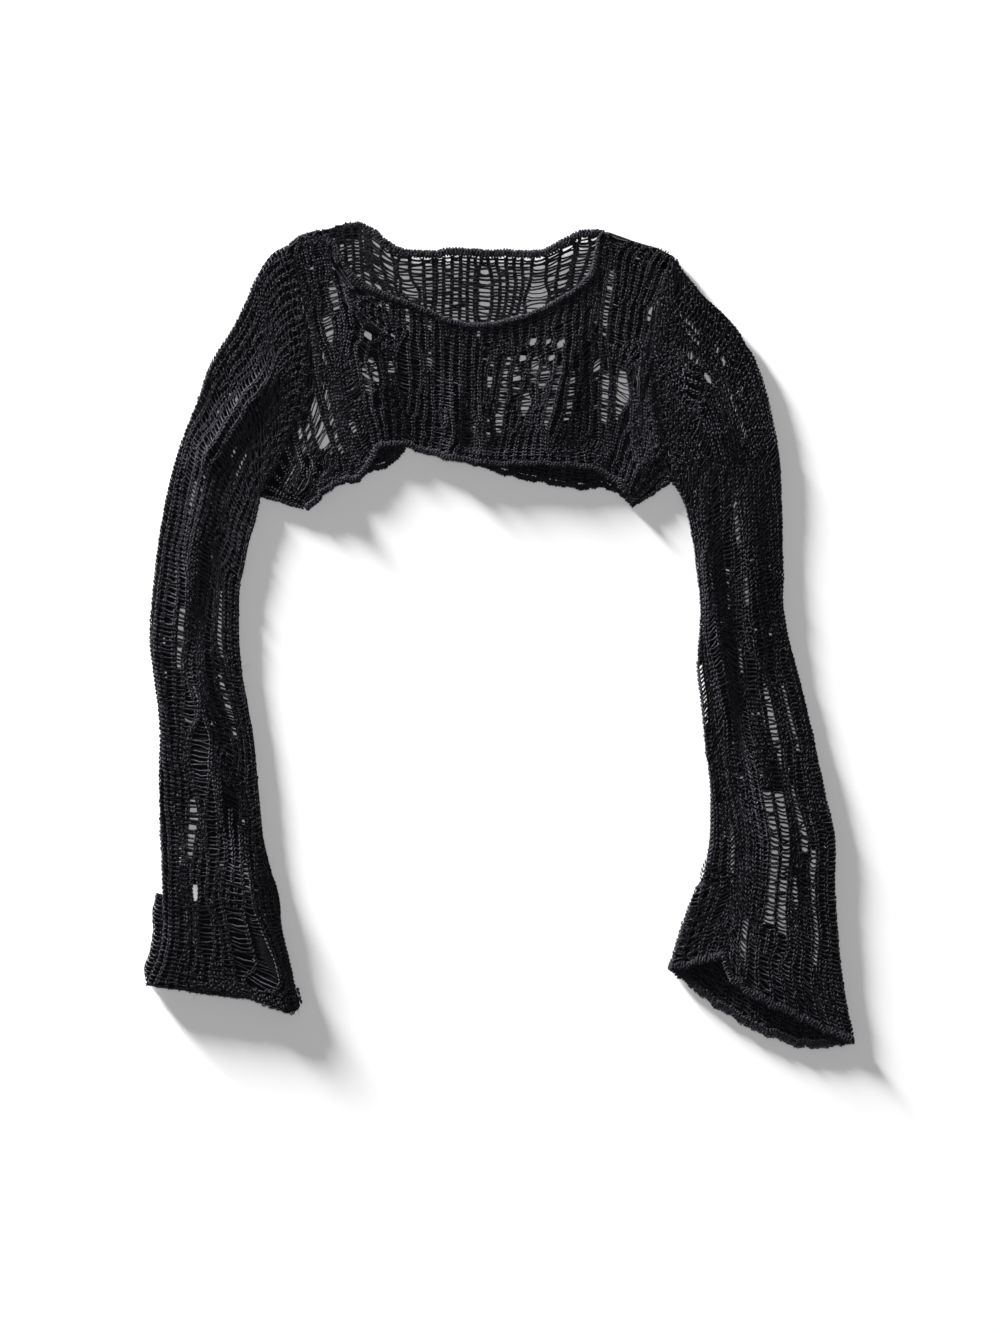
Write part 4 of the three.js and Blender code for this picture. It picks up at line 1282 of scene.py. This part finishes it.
def yarn_material(name, dark, light, fleck, sheen):
    """Matte black wool: dark fibres, paler flecks, slow changes of tone and a fibrous bump."""
    material = bpy.data.materials.new(name)
    material.use_nodes = True
    tree = material.node_tree
    join = tree.links.new
    shader = tree.nodes["Principled BSDF"]
    fill(
        shader,
        {
            "Roughness": 0.92,
            "Specular IOR Level": 0.12,
            "Sheen Weight": sheen,
            "Sheen Roughness": 0.55,
            "Sheen Tint": (0.75, 0.76, 0.9, 1),
        },
    )
    place = node(tree, "ShaderNodeTexCoord", {})
    fibre = node(tree, "ShaderNodeTexNoise", {"Scale": 520, "Detail": 3, "Roughness": 0.7})
    slow = node(tree, "ShaderNodeTexNoise", {"Scale": 22, "Detail": 2})
    speck = node(tree, "ShaderNodeTexNoise", {"Scale": 430, "Detail": 2})
    for noise in (fibre, slow, speck):
        join(place.outputs["Object"], noise.inputs["Vector"])
    tones = node(tree, "ShaderNodeValToRGB", {})
    for stop, position, color in zip(tones.color_ramp.elements, (0.4, 0.64), (dark, light)):
        stop.position = position
        stop.color = (*color, 1)
    join(fibre.outputs["Fac"], tones.inputs["Fac"])
    pale = node(tree, "ShaderNodeMapRange", {"From Min": 0.66, "From Max": 0.82})
    join(speck.outputs["Fac"], pale.inputs["Value"])
    flecked = node(tree, "ShaderNodeMix", {}, data_type="RGBA")
    fill(flecked, {"B": (*fleck, 1)})
    join(pale.outputs["Result"], flecked.inputs["Factor"])
    join(tones.outputs["Color"], flecked.inputs["A"])
    spread = {"From Min": 0.3, "From Max": 0.7, "To Min": 0.8, "To Max": 1.2}
    drift = node(tree, "ShaderNodeMapRange", spread)
    join(slow.outputs["Fac"], drift.inputs["Value"])
    toned = node(tree, "ShaderNodeVectorMath", {}, operation="SCALE")
    join(flecked.outputs["Result"], toned.inputs[0])
    join(drift.outputs["Result"], toned.inputs["Scale"])
    join(toned.outputs["Vector"], shader.inputs["Base Color"])
    bump = node(tree, "ShaderNodeBump", {"Strength": 0.7, "Distance": 0.0008})
    join(fibre.outputs["Fac"], bump.inputs["Height"])
    join(bump.outputs["Normal"], shader.inputs["Normal"])
    return material


KNIT = yarn_material(
    "knit_yarn", (0.003, 0.003, 0.004), (0.022, 0.0217, 0.027), (0.07, 0.07, 0.078), 0.09
)
# The web's colours are several times darker than the yarn's: painted shade between the columns, not a
# darker yarn.
WEB_SHADE = yarn_material(
    "knit_web_shade", (0.0008, 0.0008, 0.001), (0.0035, 0.0035, 0.0044), (0.01, 0.01, 0.012), 0.02
)
THREAD = yarn_material(
    "knit_thread", (0.0035, 0.0035, 0.0046), (0.023, 0.0225, 0.028), (0.06, 0.06, 0.067), 0.08
)
EDGE = yarn_material(
    "edge_yarn", (0.0025, 0.0025, 0.0033), (0.017, 0.0167, 0.021), (0.06, 0.06, 0.067), 0.07
)
FUZZ = yarn_material("fuzz", (0.03, 0.03, 0.034), (0.09, 0.09, 0.1), (0.2, 0.2, 0.21), 0.1)


# ---- The garment ----
NECK_BACK = (8, 3.4)
NECK_FRONT = (5, 2.7)
HEM_FRONT = (6, 3)
HEM_BACK = (6, 2)
CUFF_WIDTH = 6.0
CUFF_RIGHT = (CUFF_WIDTH + 3, 3.4)
CUFF_LEFT = (4.6, 1.8)
ARMHOLE_SEAM = (2.6, 1.0)
SIDE_SEAM = 3.4
CUFF_LOWEST = 2.2
front = Panel(
    FRONT_LEFT_ARM,
    FRONT_LINES,
    FRONT_RIGHT_ARM,
    FRONT_BASE,
    FRONT_FOLDS,
    NECK_FRONT[0],
    HEM_FRONT[0],
)
back = Panel(BACK_LEFT_ARM, BACK_LINES, BACK_RIGHT_ARM, 0.0, [], NECK_BACK[0], HEM_BACK[0])
left = Sleeve(LEFT_SLEEVE, LEFT_MOUTH, LEFT_SLEEVE_FOLDS, -SLEEVE_ASIDE, turned=True)
turn = Sleeve(LEFT_TURN, TURN_MOUTH, [], -SLEEVE_ASIDE, pressed=TURN_THICK)
right = Sleeve(RIGHT_SLEEVE, RIGHT_MOUTH, RIGHT_SLEEVE_FOLDS, SLEEVE_ASIDE, shorter=CUFF_WIDTH)


def in_neck(points):
    """Which points of the back show alone, between the two neck edges."""
    x, y = points[..., 0], points[..., 1]
    places = np.linspace(NECK_FROM, NECK_TO, 120)
    top, _ = front.ends(places)
    order = np.argsort(top[:, 0])
    line = np.interp(x, top[order, 0], top[order, 1])
    inside = (x > -160) & (x < 103) & (y > line - 2)
    return inside & ~((x < -138) & (y > 391))


def part_of(piece, slot, *nodes):
    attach(piece, "root")
    if nodes:
        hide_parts(*nodes)
    return piece


def layer_pieces(name, knit, rung, missing, light_sides, **web_options):
    """The web, the stitches and the cross threads of one layer."""
    knit.settle()
    frames = knit.frames(knit.u_at(knit.place))
    shell = part_of(web(knit, name + "_web", WEB_SHADE, **web_options), "knit", name)
    pile = Pile()
    all_stitches(knit, pile, frames, light_sides)
    yarn = part_of(pile.mesh(name + "_stitches", KNIT), "knit")
    pile = Pile()
    cross_threads(knit, pile, frames, rung, missing)
    threads = part_of(pile.mesh(name + "_threads", THREAD), "knit")
    return frames, [shell, yarn, threads]


def body_layer(name, layer, ladders, columns, rung, missing=None, light_sides=(), **web_options):
    knit = Knit(layer, BODY_STATIONS, columns, BODY_ROW, crowded(layer))
    for rows, options in ladders:
        knit.add(rows, **options)
    return layer_pieces(name, knit, rung, missing, light_sides, **web_options)


def crowded(panel):
    """Fewer columns start along the armholes than along the neck."""
    middle, half = (NECK_FROM + NECK_TO) / 2, (NECK_TO - NECK_FROM) / 2
    return lambda u: np.where(np.abs(u * panel.last - middle) < half, 1.0, ARMHOLE_SHARE)


front_ladders = [
    (BODY_HOLES, {"bare": True, "scale": 0.8}),
    (BODY_LADDERS, {"scale": 0.78}),
    (FRONT_LADDERS, {"opened": False}),
]
back_ladders = [
    (BODY_HOLES, {"bare": True, "wider": 1.0}),
    (BODY_LADDERS, {"scale": 0.78, "wider": 1.0}),
    (NECK_LADDERS, {}),
]
front_frames, front_made = body_layer(
    "front_panel", front, front_ladders, FRONT_COLUMNS, 0.8, loose=(0.07, 0.07)
)
back_frames, back_made = body_layer(
    "back_panel",
    back,
    back_ladders,
    BACK_COLUMNS,
    1.3,
    missing=lambda points: np.where(in_neck(points), 0.0, 0.6),
    light_sides=(1,),
    loose=(0.3, 0.3),
    sunk=0.0,
    opened=in_neck,
)


def thinned(points):
    """How likely a thread of an open ladder is missing."""
    return FAR_MISSING * (points[:, 2] < FAR_LAYER)


def sleeve_layer(name, layer, holes, ladders, dark, grid, scale=0.64, loose=0.06):
    knit = Knit(layer, *grid, SLEEVE_ROW)
    for side, hole_wider, ladder_wider in ((1, 0.0, 0.0), (-1, 7.0, 3.5)):
        knit.add(holes, side=side, bare=True, wider=hole_wider)
        knit.add(ladders, side=side, wider=ladder_wider, scale=scale)
    knit.add(dark, side=1, opened=False)
    return layer_pieces(name, knit, 1.25, thinned, (-1,), loose=(loose, 0.5))


GRID = (SLEEVE_STATIONS, SLEEVE_COLUMNS)
left_ladders = (LEFT_SLEEVE_HOLES, LEFT_SLEEVE_LADDERS, LEFT_SLEEVE_DARK)
right_ladders = (RIGHT_SLEEVE_HOLES, RIGHT_SLEEVE_LADDERS, RIGHT_SLEEVE_DARK)
left_frames, left_made = sleeve_layer("sleeve_left", left, *left_ladders, GRID)
right_frames, right_made = sleeve_layer(
    "sleeve_right", right, *right_ladders, GRID, scale=0.42, loose=0.12
)
_, turn_made = sleeve_layer("cuff_turn_left", turn, [], [], [], (TURN_STATIONS, TURN_COLUMNS))


def edge_piece(make, name, *rest):
    """An edging in place of the node of the same name."""
    return part_of(make(name + "_roll", *rest), "edging", name)


def sleeve_ring(name, ring, width, thick, material, wavy=0.3, rib=RIB):
    """An edging of even width round a sleeve."""
    return edging(name, *ring, np.full(len(ring[0]), width), thick, material, wavy, rib)


neck_back = edge_piece(neck_edge, "neck_edge_back", back, *NECK_BACK, EDGE)
neck_front = edge_piece(neck_edge, "neck_edge_front", front, *NECK_FRONT, EDGE)
hem_back = edge_piece(hem_edge, "hem_edge_back", back, *HEM_BACK, EDGE)
hem_front = edge_piece(hem_edge, "hem_edge_front", front, *HEM_FRONT, EDGE)
right_ring = cuff_ring(right, CUFF_WIDTH / 2)
right_ring[0][:, 2] = np.maximum(right_ring[0][:, 2], CUFF_LOWEST)
cuff_right = edge_piece(sleeve_ring, "cuff_edge_right", right_ring, *CUFF_RIGHT, EDGE, 0.9)
left_ring = cuff_ring(turn, 2.0, at=0.0, back_to=0.04)
cuff_left = edge_piece(sleeve_ring, "cuff_edge_left", left_ring, *CUFF_LEFT, EDGE)


def armhole_seam(name, layer):
    ring, ring_across, ring_out = cuff_ring(layer, 0.4, at=0.0, back_to=0.01, count=200)
    raised = (ring + ring_out * 0.2, ring_across, ring_out)
    # The seam takes the web's darker colour, the same painted shade as the web.
    return part_of(sleeve_ring(name, raised, *ARMHOLE_SEAM, WEB_SHADE, rib=7.0), "knit")


def side_seam(name, u):
    """The short seam of front and back below an armhole."""
    v = np.linspace(0, 1, 40)
    u = np.full(len(v), u)
    line = (front.point(u, v) + back.point(u, v)) / 2
    place = oriented(line[:, :2], line[:, 2])
    return part_of(edging(name, *place, np.full(len(v), SIDE_SEAM), SIDE_SEAM, EDGE), "knit")


side_left = side_seam("side_seam_left", 0.0)
side_right = side_seam("side_seam_right", 1.0)
seam_left = armhole_seam("seam_left", left)
seam_right = armhole_seam("seam_right", right)

# Stray fibres over the upward faces of the layers.
spots, normals = [], []
for points, _, _, out in (front_frames, back_frames, left_frames, right_frames):
    spots.append(points.reshape(-1, 3))
    normals.append(out.reshape(-1, 3))
spots, normals = np.concatenate(spots), np.concatenate(normals)
up = normals[:, 2] > 0.2
part_of(hairs("fuzz", spots[up], normals[up], FIBRES, FIBRE_LENGTH, FUZZ), "knit")

# ---- Floor, light and camera ----
FLOOR_REACH = 30.0
FLOOR_LEVEL = -0.001
CORNERS = [(-1, -1), (1, -1), (1, 1), (-1, 1)]
floor_mesh = bpy.data.meshes.new("floor")
floor_mesh.from_pydata(
    [(x * FLOOR_REACH, y * FLOOR_REACH, FLOOR_LEVEL) for x, y in CORNERS], [], [(0, 1, 2, 3)]
)
floor = bpy.data.objects.new("floor", floor_mesh)
bpy.context.scene.collection.objects.link(floor)
white = bpy.data.materials.new("floor_white")
white.use_nodes = True
fill(
    white.node_tree.nodes["Principled BSDF"],
    {"Base Color": (0.9, 0.9, 0.9, 1), "Roughness": 1.0, "Specular IOR Level": 0.0},
)
floor_mesh.materials.append(white)

world = bpy.data.worlds.new("studio")
world.use_nodes = True
tree = world.node_tree
backdrop = tree.nodes["Background"]
way = node(tree, "ShaderNodeTexCoord", {})
apart = node(tree, "ShaderNodeSeparateXYZ", {})
# Bright near the horizon and dim overhead.
glow_range = {"From Min": 0.12, "From Max": 0.34, "To Min": 0.8, "To Max": 0.11}
glow = node(tree, "ShaderNodeMapRange", glow_range)
tree.links.new(way.outputs["Generated"], apart.inputs["Vector"])
tree.links.new(apart.outputs["Z"], glow.inputs["Value"])
tree.links.new(glow.outputs["Result"], backdrop.inputs["Strength"])
backdrop.inputs["Color"].default_value = (1, 1, 1, 1)
bpy.context.scene.world = world
bpy.context.scene.view_settings.view_transform = "Standard"


def area_light(name, azimuth, elevation, distance, size, power):
    """A round soft light that looks at the middle of the garment. Angles are in degrees."""
    data = bpy.data.lights.new(name, "AREA")
    data.shape = "DISK"
    data.size = size
    data.energy = power
    lamp = bpy.data.objects.new(name, data)
    a, e = math.radians(azimuth), math.radians(elevation)
    way = np.array([math.cos(a) * math.cos(e), math.sin(a) * math.cos(e), math.sin(e)])
    lamp.location = way * distance
    lamp.rotation_mode = "QUATERNION"
    lamp.rotation_quaternion = Vector(-way).to_track_quat("-Z", "Y")
    bpy.context.scene.collection.objects.link(lamp)


area_light("key", 130, 5.4, 14.0, 2.0, 18500)
area_light("overhead", 110, 84, 5.0, 0.8, 74)

LENS = 100
SENSOR = 36
VIEW_LENGTH = 1.333
camera_data = bpy.data.cameras.new("camera")
camera_data.lens = LENS
camera_data.sensor_width = SENSOR
camera_data.clip_end = 100
camera = bpy.data.objects.new("camera", camera_data)
camera.location = (0.0005, -0.032, VIEW_LENGTH * LENS / SENSOR)
bpy.context.scene.collection.objects.link(camera)
bpy.context.scene.camera = camera
